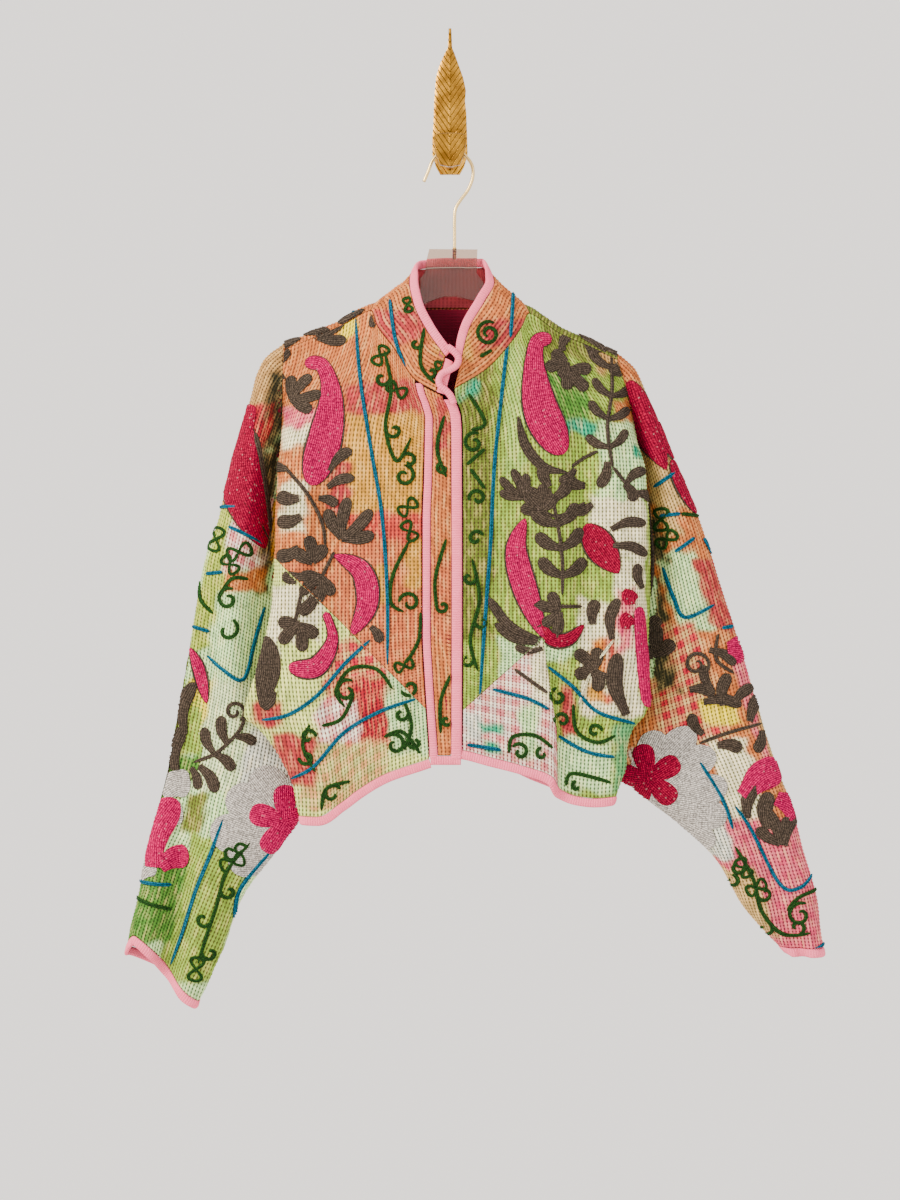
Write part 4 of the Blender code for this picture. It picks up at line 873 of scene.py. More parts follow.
# %% Panels
FORWARDS = (0.0, -1.0, 0.0)
BACKWARDS = (0.0, 1.0, 0.0)
WHOLE = (0.0, 1.0)
ROUND = (-1.0, 1.0)
RIGHTWARDS = (1.0, 0.0, 0.0)
LEFTWARDS = (-1.0, 0.0, 0.0)
right_front, left_front = (functools.partial(front_point, side) for side in SIGN)
right_sleeve, left_sleeve = (functools.partial(sleeve_point, side) for side in SIGN)
# Each panel: its object's name, its surface, the spans of its two shares, its run down in millimetres,
# a rough direction outwards and the seed of its unevenness
PANELS = {
    "front_right": ("front_right_cloth", right_front, WHOLE, WHOLE, 485, FORWARDS, 11),
    "sleeve_right": ("sleeve_right_cloth", right_sleeve, ROUND, WHOLE, 720, LEFTWARDS, 21),
    "front_left": ("front_left_cloth", left_front, WHOLE, WHOLE, 485, FORWARDS, 12),
    "sleeve_left": ("sleeve_left_cloth", left_sleeve, ROUND, WHOLE, 720, RIGHTWARDS, 22),
    "back": ("back_cloth", back_point, ROUND, WHOLE, 530, BACKWARDS, 31),
    "collar": ("collar_cloth", lambda w, t: collar_point(t, w), WHOLE, ROUND, 360, BACKWARDS, 41),
    "placket_band": ("placket_cloth", placket_point, WHOLE, WHOLE, 390, FORWARDS, 51),
}


def half_area(made):
    """Area of one side of a shell, in square metres."""
    return sum(face.area for face in made.data.polygons) / 2


panels = {node: quilted(*row) for node, row in PANELS.items()}

# %% [markdown]
# The two lower panels are parted from the fronts along their seams with exact Booleans, so both sides
# of each seam keep the one form. The cutter is an upright prism and is deleted afterwards.

# %% Lower panels
CUTTER_DEPTHS = (-160.0, 20.0)


def seam_prism(corners, grow):
    """A closed upright block through the cloth, its outline grown outwards."""
    flat = np.array(corners, dtype=float)
    flat = flat + unit(flat - flat.mean(axis=0)) * grow
    points = [(x, y, z) for y in CUTTER_DEPTHS for x, z in flat]
    n = len(flat)
    faces = [list(range(n)), list(range(n, 2 * n))]
    faces += [[k, (k + 1) % n, n + (k + 1) % n, n + k] for k in range(n)]
    made = mesh_object("seam_prism", points, faces, ())
    clean(made.data, merge=0.0, drop=0.0)
    return made


def apply_modifier(target, kind, **settings):
    modifier = target.modifiers.new(kind.lower(), kind)
    for name, value in settings.items():
        setattr(modifier, name, value)
    bpy.context.view_layer.objects.active = target
    bpy.ops.object.modifier_apply(modifier=modifier.name)


def apply_boolean(target, operation, cutter):
    apply_modifier(target, "BOOLEAN", operation=operation, solver="EXACT", object=cutter)
    bpy.data.objects.remove(cutter, do_unlink=True)


for side, cut in (("right", RIGHT_PANEL_CUT), ("left", LEFT_PANEL_CUT)):
    front = panels["front_" + side].object
    lower = front.copy()
    lower.data = front.data.copy()
    lower.name = "lower_panel_" + side + "_cloth"
    bpy.context.scene.collection.objects.link(lower)
    apply_boolean(lower, "INTERSECT", seam_prism(cut, 0.0))
    apply_boolean(front, "DIFFERENCE", seam_prism(cut, GAP * 1.5))
    print(lower.name, len(lower.data.polygons), "left on the front:", len(front.data.polygons))
    panels["lower_panel_" + side] = Panel(lower, panels["front_" + side].tree)

# %% [markdown]
# The patchwork is of many old cottons. A row of the table is a patch: its cloth and its left, top,
# right and bottom edges as seen from the front. Edges waver by a few millimetres as hand-cut patches
# do. On a sleeve the patches lean with the arm. The outer back can't be seen, so its patches are a
# guess in the same cottons.

# %% Patchwork table
# Each cotton: its name, its ground, the colour in its pits (thread and painted shade), and a woven check with
# its strength
# The fold row is not a cloth. It is painted shade: a dark sheet laid where the fold between a sleeve and its
# front is in shadow.
COTTONS = """
peach #b8642e #572814; peach_orange #d0780f #572814; coral #9c322e #511212 #ac2838 0.5
coral_red #b83a2c #511212; salmon #bd6034 #4e2014; golden #be8428 #4c370c; yellow #e3c807 #4d4505
cream #e0d6ac #4a4a26; lime #add046 #3a431e; pale_lime #c7d16f #3a431e; green #7c9c30 #3c3414
pale_green #8fb04c #3c4416; yellow_green #98a838 #374210; olive #5a6a1c #33260e
dark_green #467a26 #172a05; teal #079569 #052f25; mint #b4d490 #244224; mint_cream #c1d099 #32452b
grey_white #c8c8b8 #3a3e36; white_check #e2d8c4 #5b1c22 #c23b50 0.8
pink_check #d6656f #541125 #c01e50 0.7; peach_check #bcb466 #30441f #c86a40 0.7
red_check #c8a060 #510819 #bc1c2e 1; beige #b8945a #453815; tan #a87c44 #3c2a16
worn #c37207 #451e0d #9c2f28 0.5; side_strip #569456 #183922; dark_fold #38351f #16190e
crimson #9f071f #34050d; crimson_lining #6a0422 #35070b; faded_lining #a8404a #582222
"""
# On the sleeves, the patches of the fold row by the armhole are painted shade in the valley between the
# sleeve and the front.
PATCHES = {
    "front_right": """
coral -114 -288 -29 -328; golden -114 -324 -29 -435; yellow -121 -217 -103 -239
cream -187 -328 -145 -361; cream -186 -397 -158 -452; pink_check -186 -314 -143 -336
coral -132 -380 -110 -435; coral_red -112 -432 -29 -483; salmon -128 -461 -28 -644
golden -85 -492 -68 -532; golden -48 -461 -28 -512; salmon -180 -483 -132 -527
""",
    "lower_panel_right": """
cream -200 -512 -140 -593; lime -184 -574 -145 -600; coral -217 -638 -180 -664
pale_lime -183 -574 -118 -664; red_check -136 -571 -51 -692; crimson -110 -610 -57 -679
white_check -144 -634 -99 -684; mint -68 -586 -20 -695; peach_check -164 -682 -68 -756
coral -193 -674 -145 -732
""",
    "front_left": """
olive 11 -252 47 -571; pale_green 61 -252 82 -397; dark_green 95 -275 152 -332; teal 11 -290 31 -310
teal 124 -330 164 -346; peach 178 -307 205 -332; mint 161 -332 217 -435; teal 200 -358 213 -372
teal 173 -417 184 -427; cream 155 -416 217 -483; cream 178 -480 213 -546; olive 99 -217 209 -263
tan 163 -246 211 -276; cream 141 -527 211 -654; worn 154 -571 169 -637; coral_red 172 -538 180 -637
pink_check 183 -516 200 -582; golden 152 -616 163 -635; mint 102 -572 139 -593; coral 121 -620 136 -675
mint 113 -679 178 -736; side_strip 178 -661 200 -737; mint 55 -571 99 -626
""",
    "lower_panel_left": """
mint 76 -640 95 -697; grey_white 15 -650 34 -679; teal 34 -663 57 -673; teal 37 -679 55 -692
cream 88 -571 117 -637
""",
    "sleeve_right": """
tan -286 -180 -121 -320; dark_fold -207 -276 -180 -362; dark_fold -215 -362 -189 -439
dark_fold -220 -433 -194 -516; dark_fold -224 -510 -202 -576; peach_orange -256 -408 -233 -422
yellow_green -275 -422 -243 -582; white_check -243 -413 -204 -496; peach -248 -494 -204 -519
mint -268 -519 -204 -637; mint_cream -292 -615 -210 -740; yellow -298 -615 -273 -705
grey_white -229 -671 -170 -740; olive -298 -740 -268 -785; green -307 -785 -238 -952
dark_green -356 -817 -298 -906; crimson -248 -311 -207 -410; mint -363 -725 -297 -817
""",
    "sleeve_left": """
tan 211 -285 246 -332; beige 226 -373 264 -459; peach 255 -425 288 -475; mint 239 -473 285 -563
coral 280 -482 314 -563; red_check 216 -552 295 -698; yellow 278 -640 320 -663; cream 297 -682 344 -777
pink_check 330 -593 367 -703; tan 349 -635 382 -734; pink_check 306 -769 424 -946
beige 297 -824 349 -899; tan 198 -290 233 -378; dark_fold 211 -384 226 -483; dark_fold 213 -472 233 -549
dark_fold 218 -543 240 -626; grey_white 216 -698 297 -813
""",
    "collar": """
coral -99 -208 -28 -246; coral 33 -219 88 -252; golden -15 -230 22 -263
""",
    "placket_band": """
coral -15 -307 0 -362; salmon -22 -483 6 -571
""",
    "back": """
mint -193 -291 -115 -396; olive -198 -407 -141 -488; golden -185 -515 -105 -598
mint -186 -622 -120 -719; green -134 -286 -73 -367; cream -129 -403 -69 -502; cream -117 -497 -39 -600
coral -118 -629 -42 -733; crimson -65 -289 -3 -399; cream -70 -383 2 -482; peach -63 -506 14 -605
crimson -66 -626 2 -744; cream 6 -280 66 -374; cream 1 -383 81 -465; coral -6 -510 69 -607
crimson 10 -619 80 -743; pink_check 62 -273 123 -357; golden 64 -389 139 -497; cream 63 -513 131 -630
pink_check 78 -622 139 -722; coral 124 -272 186 -369; pale_green 142 -382 204 -469
pink_check 128 -515 197 -596; peach 134 -617 191 -715
""",
    "back_of_sleeve_right": """
mint -300 -330 -200 -430; coral -330 -430 -230 -560; golden -280 -420 -190 -500
green -340 -560 -260 -700; cream -260 -560 -190 -680; dark_green -370 -700 -280 -900
pink_check -290 -760 -220 -900
""",
    "back_of_sleeve_left": """
green 190 -300 290 -400; beige 230 -400 320 -520; mint 210 -500 300 -640; coral 290 -520 380 -640
red_check 250 -640 350 -780; cream 340 -640 420 -780; peach 300 -780 420 -900
""",
}
GROUNDS = {
    "front_right": "peach", "lower_panel_right": "pale_lime", "front_left": "green",
    "lower_panel_left": "white_check", "sleeve_right": "mint", "sleeve_left": "peach", "back": "salmon",
    "collar": "peach", "placket_band": "peach",
}
LEAN = {"sleeve_right": 0.234, "sleeve_left": -0.327}
BEHIND_Y = -41.0       # a sleeve's or a shoulder's cloth further back than this is on its back
EDGE_WAVER = 4.0
EDGE_SOFT = 8.0

# %% Painting the patchwork
MIXES = {name: colours for name, *colours in rows_of(COTTONS)}


def cotton_values(name):
    """A cotton as one row of numbers: ground, check with its strength, and pits."""
    ground, pits, *woven = MIXES[name]
    check, strength = woven or (ground, 0.0)
    return np.array(linear(ground)[:3] + linear(check, float(strength)) + linear(pits)[:3])


def patched(values, places, rows, lean, seed):
    """Lay patches over the values held at some places."""
    x, z = places[:, 0], places[:, 2]
    waver = EDGE_WAVER * wander(places, 21.0, seed)
    for name, *edges in rows:
        left, top, right, bottom = map(float, edges)
        middle = (top + bottom) / 2
        side = np.abs(x - (left + right) / 2 - lean * (z - middle)) - (right - left) / 2
        end = np.abs(z - middle) - (top - bottom) / 2
        share = smooth(0.5 - (np.maximum(side, end) + waver) / EDGE_SOFT)[:, None]
        values = values * (1 - share) + cotton_values(name) * share
    return values


def store_colours(mesh, name, colours):
    layer = mesh.attributes.new(name, "FLOAT_COLOR", "POINT")
    layer.data.foreach_set("color", np.ravel(colours))


def paint(mesh, ground, layers, inside, seed):
    """Store colours on a panel. A layer is a mask function of places, its patches and their lean."""
    places = np.zeros(len(mesh.vertices) * 3)
    mesh.vertices.foreach_get("co", places)
    places = places.reshape(-1, 3) / MM
    values = np.broadcast_to(cotton_values(ground), (len(places), 10)).copy()
    for where, rows, lean in layers:
        chosen = where(places)
        values[chosen] = patched(values[chosen], places[chosen], rows, lean, seed)
    behind = np.zeros(len(places), dtype=bool)
    for face in mesh.polygons:
        if face.material_index == 1:
            behind[list(face.vertices)] = True
    values[behind] = cotton_values(inside)
    for name, columns in (("ground", [0, 1, 2]), ("check", [3, 4, 5, 6]), ("pits", [7, 8, 9])):
        colours = np.ones((len(places), 4))
        colours[:, :len(columns)] = values[:, columns]
        store_colours(mesh, name, colours)


def anywhere(places):
    return np.ones(len(places), dtype=bool)


def in_front(places):
    return places[:, 1] < BEHIND_Y


def behind_it(places):
    return places[:, 1] >= BEHIND_Y


def over_shoulder(side):
    """The roll over one shoulder, which is cut with the back but seen from the front."""
    return lambda places: (places[:, 1] < HANG_Y) & (places[:, 0] * SIGN[side] > 0)


def patches_of(name):
    return rows_of(PATCHES[name]) if name in PATCHES else []


for number, (name, ground) in enumerate(GROUNDS.items()):
    layers = [(anywhere, patches_of(name), 0.0)]
    if name.startswith("sleeve"):
        lean = LEAN[name]
        layers = [(in_front, patches_of(name), lean), (behind_it, patches_of("back_of_" + name), lean)]
    if name == "back":
        layers.append((over_shoulder("right"), rows_of("peach -200 -150 0 -300"), 0.0))
        layers.append((over_shoulder("left"), rows_of("olive 0 -150 200 -300"), 0.0))
    made = panels[name].object
    paint(made.data, ground, layers, "faded_lining" if name == "collar" else "crimson_lining", 61 + number)
    print(name, "area in square metres:", round(half_area(made), 4))

# %% [markdown]
# Pink cotton strips bind every edge. A bias strip that is pulled round an edge puckers across its
# width, so each band is swept along its edge in steps of half a pucker, high and low in turn, with a
# wandering strength. The cord of the closure loop is the same cloth, rolled.

# %% Binding cloth
PUCKER_PITCH = 2.6

binding_cloth, tree, shader = new_material("pink_binding_cotton", roughness=0.8, specular_ior_level=0.3)
run = add(tree, "SeparateXYZ", add(tree, "UVMap", uv_map="UVMap"))
place = add(tree, "TexCoord").outputs["Object"]
mottled = add(tree, "TexNoise", place, Scale=70.0, Detail=4.0)
uneven = add(tree, "TexNoise", place, Scale=380.0, Detail=2.0)
shifted = add(tree, "Math", uneven, 1.6, run.outputs["X"], operation="MULTIPLY_ADD")
fold = add(tree, "Math", shifted, PUCKER_PITCH / 2, operation="PINGPONG")
# Painted shade: the binding is darker in the valleys of its puckers.
crease_shade = add(tree, "MapRange", fold, 0.0, 0.5, 0.8, 0.0, **SOFTLY)
strength = add(tree, "Math", crease_shade, mottled, operation="MULTIPLY")
pink = add(tree, "Mix", mottled, linear("#fb7a92"), linear("#ec607c"), data_type="RGBA")
crease_shaded = add(tree, "Mix", strength, pink, linear("#b5485e"), data_type="RGBA")
hem = add(tree, "Math", run.outputs["Y"], 0.4, operation="SUBTRACT")
line = add(tree, "MapRange", add(tree, "Math", hem, operation="ABSOLUTE"), 0.0, 0.035, 0.7, 0.0)
seamed = add(tree, "Mix", line, crease_shaded, linear("#9c4454"), data_type="RGBA")
bump = add(tree, "Bump", Strength=0.7, Distance=0.8 * MM, Height=fold)
connect(tree, shader, {"Base Color": seamed, "Normal": bump})

# %% Sweeping a band
BAND_STEP = PUCKER_PITCH / 2
BAND_SIDES = 12
PUCKER = 0.10          # share of a band's thickness
EDGE_STEP = 0.004
SQUARE = 0.75
DENSE_EDGE = 301


def resampled(line, step):
    """Rows of a line at even steps along it, with their distances in millimetres."""
    run = np.concatenate(([0.0], np.cumsum(np.linalg.norm(np.diff(line[:, :3], axis=0), axis=1))))
    even = np.linspace(0, run[-1], max(3, round(run[-1] / step) + 1))
    return np.stack([np.interp(even, run, column) for column in line.T], axis=1), even


def swept(name, middles, sides, outs, width, thick, pucker, material, round_section=False):
    """A closed band or cord along a line of middles, with its width and thickness directions given."""
    rows, even = resampled(np.concatenate((middles, sides, outs), axis=1), BAND_STEP)
    middles, sides, outs = rows[:, :3], unit(rows[:, 3:6]), unit(rows[:, 6:])
    angle = 2 * np.pi * (np.arange(BAND_SIDES) + 0.5) / BAND_SIDES
    c, s = np.cos(angle), np.sin(angle)
    flat, high = c * width / 2, s * thick / 2
    if not round_section:
        flat = np.sign(c) * np.abs(c) ** 0.6 * width / 2
        high = np.sign(s) * np.abs(s) ** 0.8 * thick / 2
    alternate = np.where(np.arange(len(even)) % 2, 1.0, -1.0) * (0.6 + 0.4 * wander(middles, 9.0, 5))
    swell = 1 + pucker * alternate[:, None, None]
    rings = middles[:, None] + sides[:, None] * flat[None, :, None]
    rings = rings + outs[:, None] * high[None, :, None] * swell
    index = numbered(len(even), BAND_SIDES)
    faces = quads(np.concatenate((index, index[:, :1]), axis=1)) + [index[0].tolist(), index[-1].tolist()]
    turn = np.abs((angle - np.pi / 2 + np.pi) % (2 * np.pi) - np.pi) / np.pi
    uv = np.stack(np.broadcast_arrays(even[:, None], turn[None, :]), -1).reshape(-1, 2)
    made = mesh_object(name, rings.reshape(-1, 3), faces, (material,), uv)
    clean(made.data)
    made.data.shade_smooth()
    return made


def edge_band(name, surface, us, vs, beyond, outward):
    """A binding along a surface's edge. beyond is a step into the cloth, outward a rough direction."""
    here = surface(us, vs)
    inside = surface(us + beyond[0] * EDGE_STEP, vs + beyond[1] * EDGE_STEP)
    along = unit(np.gradient(here, axis=0))
    away = unit(here - inside)
    away = unit(away - along * np.sum(away * along, axis=1, keepdims=True) * SQUARE)
    outs = unit(np.cross(away, along))
    for k in range(1, len(outs)):
        if np.dot(outs[k], outs[k - 1]) < 0:
            outs[k] = -outs[k]
    outs = outs * math.copysign(1.0, np.sum(outs * outward(here)))
    middles = here + away * (BINDING_WIDTH / 2 + GAP) - outs * CLOTH / 2
    name = name + "_cloth"
    return swept(name, middles, away, outs, BINDING_WIDTH, BINDING_THICK, PUCKER, binding_cloth)


def facing(direction):
    return lambda places: direction


def away_from(middle):
    return lambda places: places - middle


# %% Edge bindings
HEM_CORNER = 0.985
BACK_CORNER = 0.91
CUFF_CORNER = 0.9185
COLLAR_END_SHARE = 0.96
FOOT_FROM = -0.58       # the placket's foot is bound from under the strip to past the front edge
FOOT_SPAN = 2.36

NECK_MIDDLE = (0.0, HANG_Y, -250.0)
UP = (0, -1)            # the way into the cloth from an edge, across and down the surface
ASIDE = (1, 0)

share = np.linspace(0.0, 1.0, DENSE_EDGE)
both_ways = 2 * share - 1
foot = np.ones(DENSE_EDGE)
edges = []
for side, front, sleeve in (("right", right_front, right_sleeve), ("left", left_front, left_sleeve)):
    around = both_ways * CUFF_CORNER
    out_of_cuff = away_from(sleeve(around, foot).mean(axis=0))
    edges.append(("binding_hem_" + side, front, share * HEM_CORNER, foot, UP, facing(FORWARDS)))
    edges.append(("binding_cuff_" + side, sleeve, around, foot, UP, out_of_cuff))
edges += [
    ("binding_hem_back", back_point, both_ways * BACK_CORNER, foot, UP, facing(BACKWARDS)),
    ("binding_hem_placket", placket_point, FOOT_FROM + FOOT_SPAN * share, foot, UP, facing(FORWARDS)),
    ("binding_collar", collar_point, both_ways, foot, UP, away_from(NECK_MIDDLE)),
    ("binding_collar_end", collar_point, -foot, share * COLLAR_END_SHARE, ASIDE, away_from(NECK_MIDDLE)),
]
bindings = {row[0]: edge_band(*row) for row in edges}

# %% Strips of the placket and the closure loop
CORD = 3.9
LOOP_Y = -104.0
LOOP = (
    (-3, -252), (4, -257), (9, -264), (7, -272), (0, -277), (-8, -281), (-12, -288), (-10, -295), (-4, -300),
    (1, -306), (4, -314),
)


def upright_strip(name, centre, heights, width, thick):
    z = np.linspace(*heights, DENSE_EDGE)
    x = centre(z)
    middles = np.stack((x, front_depth("right", x, z) + CLOTH / 2 - PLACKET_RAISE, z), -1)
    sides = np.broadcast_to((1.0, 0.0, 0.0), middles.shape)
    outs = np.broadcast_to(FORWARDS, middles.shape)
    return swept(name, middles, sides, outs, width, thick, PUCKER, binding_cloth)


def smooth_line(points, steps=12):
    """A smooth line through a few points, each a row of coordinates."""
    data = np.array(points, dtype=float)
    padded = np.concatenate((data[:1], data, data[-1:]))
    t = np.linspace(0, 1, steps, endpoint=False)[:, None]
    rows = []
    for k in range(len(data) - 1):
        before, a, b, after = padded[k:k + 4]
        bend = (2 * before - 5 * a + 4 * b - after) * t * t + (3 * a - before - 3 * b + after) * t ** 3
        rows.append(0.5 * (2 * a + (b - before) * t + bend))
    rows.append(data[-1:])
    return np.concatenate(rows)


def flat_cord(name, points, y, radius, pucker, material):
    """A round cord or wire that lies in one upright plane, its points across and up."""
    line = smooth_line(points)
    middles = np.stack((line[:, 0], np.full(len(line), y), line[:, 1]), -1)
    outs = np.broadcast_to(FORWARDS, middles.shape)
    sides = unit(np.cross(np.gradient(middles, axis=0), outs))
    return swept(name, middles, sides, outs, 2 * radius, 2 * radius, pucker, material, round_section=True)


for name, *strip in (
    ("placket_strip", STRIP, STRIP_HEIGHTS, STRIP_WIDTH, BINDING_THICK),
    ("binding_front_edge", EDGE, EDGE_HEIGHTS, EDGE_WIDTH, EDGE_THICK),
):
    bindings[name] = upright_strip(name + "_cloth", *strip)
bindings["closure_loop"] = flat_cord("closure_loop_cord", LOOP, LOOP_Y, CORD, PUCKER / 2, binding_cloth)
print("bindings:", len(bindings), "faces:", sum(len(made.data.polygons) for made in bindings.values()))

# %% [markdown]
# The hanger is cut from clear sheet, so the model's own plate only needs its edges softened. The wire
# hook is bent from round gold-coloured wire, and the wall hook is cast brass with a rib and veins.

# %% Hard materials
glass = {"roughness": 0.06, "ior": 1.49, "transmission_weight": 1.0}
acrylic = new_material("clear_acrylic", base_color=linear("#cdb09c"), **glass)[0]

wire, tree, shader = new_material("gold_coloured_wire", base_color=linear("#d8b878"), metallic=1.0)
place = add(tree, "TexCoord").outputs["Object"]
scuffed = add(tree, "TexNoise", place, Scale=300.0, Detail=3.0)
dull = add(tree, "MapRange", scuffed, 0.3, 0.7, 0.2, 0.42)
connect(tree, shader, {"Roughness": dull})

VEIN_PITCH = 0.0085
VEIN_SLOPE = 1.5
RIB_HALF = 0.0016
brass, tree, shader = new_material("cast_brass", metallic=1.0)
place = add(tree, "TexCoord").outputs["Object"]
axes = add(tree, "SeparateXYZ", place)
side = add(tree, "Math", axes.outputs["X"], operation="ABSOLUTE")
slope = add(tree, "Math", side, -VEIN_SLOPE, axes.outputs["Z"], operation="MULTIPLY_ADD")
vein = add(tree, "Math", slope, VEIN_PITCH / 2, operation="PINGPONG")
veined = add(tree, "MapRange", vein, 0.0, 0.0012, 0.0, 1.0, **SOFTLY)
rib = add(tree, "MapRange", side, RIB_HALF * 0.4, RIB_HALF, 1.6, 0.0, **SOFTLY)
cast = add(tree, "TexNoise", place, Scale=260.0, Detail=4.0)
raised = add(tree, "Math", veined, rib, operation="ADD")
height = add(tree, "Math", cast, 0.5, raised, operation="MULTIPLY_ADD")
bump = add(tree, "Bump", Strength=0.8, Distance=0.9 * MM, Height=height)
tarnish = add(tree, "TexNoise", place, Scale=55.0, Detail=5.0)
old = add(tree, "MapRange", tarnish, 0.35, 0.65)
toned = add(tree, "Mix", old, linear("#bd8a2c"), linear("#7d551a"), data_type="RGBA")
shaded = add(tree, "Mix", veined, linear("#5b3d14"), toned, data_type="RGBA")
dull = add(tree, "MapRange", cast, 0.3, 0.7, 0.24, 0.46)
connect(tree, shader, {"Base Color": shaded, "Roughness": dull, "Normal": bump})

# %% Hanger, hook and wall hook
SOFT_ANGLE = math.radians(32)
HOOK_LINE = (
    (-29, -63), (-24, -51), (-19, -39), (-11, -31), (0, -27.6), (11, -30), (20, -37.5), (25, -47), (25, -59),
    (20, -72), (12, -83), (6.5, -92), (5, -102), (5, -120), (5, -137.2),
)
WIRE = 1.9
SLOT = (0.0072, 0.0016, 0.0010)


def softened(node, material, width, segments):
    """A merged copy of a CAD node with its corners rounded."""
    mesh = frame["nodes"][node].data.copy()
    mesh.materials.clear()
    mesh.materials.append(material)
    clean(mesh, drop=0.0)
    made = bpy.data.objects.new(node + "_made", mesh)
    bpy.context.scene.collection.objects.link(made)
    corners = {"width": width * MM, "segments": segments, "limit_method": "ANGLE", "angle_limit": SOFT_ANGLE}
    apply_modifier(made, "BEVEL", **corners)
    made.data.shade_smooth()
    made.data.set_sharp_from_angle(angle=SOFT_ANGLE)
    return made


hardware = {
    node: softened(node, *looks) for node, *looks in (
        ("hanger_plate", acrylic, 0.8, 3), ("hook_socket", wire, 0.15, 2), ("wall_hook", brass, 0.7, 3),
        ("screw_1", brass, 0.35, 2), ("screw_2", brass, 0.35, 2),
    )
}
hardware["hanger_hook"] = flat_cord("hanger_hook_wire", HOOK_LINE, HANG_Y, WIRE, 0.0, wire)
for name, angle in (("screw_1", 0.5), ("screw_2", -0.3)):
    low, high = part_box(name)
    middle = ((low[0] + high[0]) / 2, low[1], (low[2] + high[2]) / 2)
    bpy.ops.mesh.primitive_cube_add(size=1.0, location=middle, rotation=(0.0, angle, 0.0), scale=SLOT)
    apply_boolean(hardware[name], "DIFFERENCE", bpy.context.object)
print("hard pieces:", sorted(hardware))

# %% [markdown]
# The wool embroidery is chain stitch: close rows of small loops that fill each shape, with single
# lines for stems and scrolls. One stroke makes them all: a smooth spine with a width that swells and
# ends as its kind asks, laid on the panel by looking along Y for the cloth. The shapes are the
# ordinary leaves, paisleys, curls and vines of such work, drawn here for this jacket in about the
# photo's places, colours and sizes. None is a tracing.

# %% Wool
ROW_WIDTH = 2.2        # millimetres between rows of chain stitch
CHAIN = 3.2            # length of one chain

wool, tree, shader = new_material("chain_stitch_wool", roughness=0.95, specular_ior_level=0.1)
dyed = add(tree, "Attribute", attribute_name="wool")
rows = add(tree, "SeparateXYZ", add(tree, "UVMap", uv_map="UVMap"))
place = add(tree, "TexCoord").outputs["Object"]
across = add(tree, "Math", rows.outputs["X"], ROW_WIDTH / 2, operation="PINGPONG")
slanted = add(tree, "Math", across, 0.9, rows.outputs["Y"], operation="MULTIPLY_ADD")
chain = add(tree, "Math", slanted, CHAIN / 2, operation="PINGPONG")
round_row = add(tree, "MapRange", across, 0.0, 0.8, **SOFTLY)
round_loop = add(tree, "MapRange", chain, 0.0, 0.9, 0.35, 1.0, **SOFTLY)
loops_high = add(tree, "Math", round_row, round_loop, operation="MULTIPLY")
fuzz = add(tree, "TexNoise", place, Scale=430.0, Detail=4.0, Roughness=0.65)
height = add(tree, "Math", fuzz, 0.5, loops_high, operation="MULTIPLY_ADD")
bump = add(tree, "Bump", Strength=0.9, Distance=1.1 * MM, Height=height)
# Painted shade: the wool is darker between its rows and its loops, where they dip.
gap_shade = add(tree, "MapRange", loops_high, 0.0, 0.7, 0.35, 1.0)
tone = add(tree, "MapRange", fuzz, 0.4, 0.6, 0.5, 1.35)
value = add(tree, "Math", gap_shade, tone, operation="MULTIPLY")
shade = add(tree, "HueSaturation", Value=value, Color=dyed)
speck = add(tree, "TexVoronoi", place, Scale=150.0)
dots = add(tree, "MapRange", speck.outputs["Distance"], 0.1, 0.2, 4.0, 0.0)
some = add(tree, "Math", dots, dyed.outputs["Alpha"], operation="MULTIPLY")
specked = add(tree, "Mix", some, shade, linear("#efc9c0"), data_type="RGBA")
connect(tree, shader, {"Base Color": specked, "Normal": bump})

# Dyes of the wool, and how much the cloth below shows through as pale specks
WOOLS = {
    "magenta": ("#be0052", 0.04),
    "crimson": ("#960030", 0.05),
    "brown": ("#463b31", 0.01),
    "lilac": ("#c0b8ae", 0.0),
    "green": ("#1c4014", 0.0),
    "blue": ("#0c5870", 0.0),
    "cream": ("#e6dcae", 0.0),
}

# %% Strokes of wool
FILL_COLUMN = 1.1      # millimetres between the points across a filled shape
STITCH_STEP = 1.6      # and along it
LINE_WIDTH = 4.3
OUTLINE = 2.2          # the brown line round a flower or paisley
LEAF_FULL = 1.3        # leaves are drawn this much wider and a little longer than their rows say
SET_UP = 1.0           # how far a stroke's edge lies above the panel's surface
DOME = 1.25            # and how much higher its middle is
LOW_DYE = "lilac"      # the fans lie under the flowers, and are flat
LOW_DOME = 0.3
UNDER = 0.4            # how much lower an outline lies than the shape on it
LEAF_OPEN = 52.0       # degrees between a stem and its leaves
POINT_HALF = 0.05      # half the width at a pointed end
FULL_DOME_HALF = 1.6   # strokes narrower than this are lower too
LOOP_POINTS = 16
LOOP_WIDTH = 0.85 * LINE_WIDTH
CURL_POINTS = 10       # in one turn of a scroll
EYE_Y = -0.3


def width_along(kind, t):
    """Share of a stroke's full width at shares along it."""
    blunt = np.sqrt(np.clip(1 - np.clip((t - 0.72) / 0.28, 0, 1) ** 2, 0, 1))
    if kind == "paisley":
        return (0.42 + 0.58 * smooth((t - 0.1) / 0.6)) * np.sqrt(1 - np.clip(1 - t / 0.07, 0, 1) ** 2) * blunt
    if kind == "leaf":
        return np.sin(np.pi * np.clip(t, 0, 1) ** 0.85) ** 0.7
    if kind == "finger":
        return (0.55 + 0.45 * smooth(t / 0.6)) * blunt
    if kind == "crescent":
        return np.sin(np.pi * t) ** 0.6
    return np.sqrt(np.clip(1 - (2 * t - 1) ** 8, 0, 1))


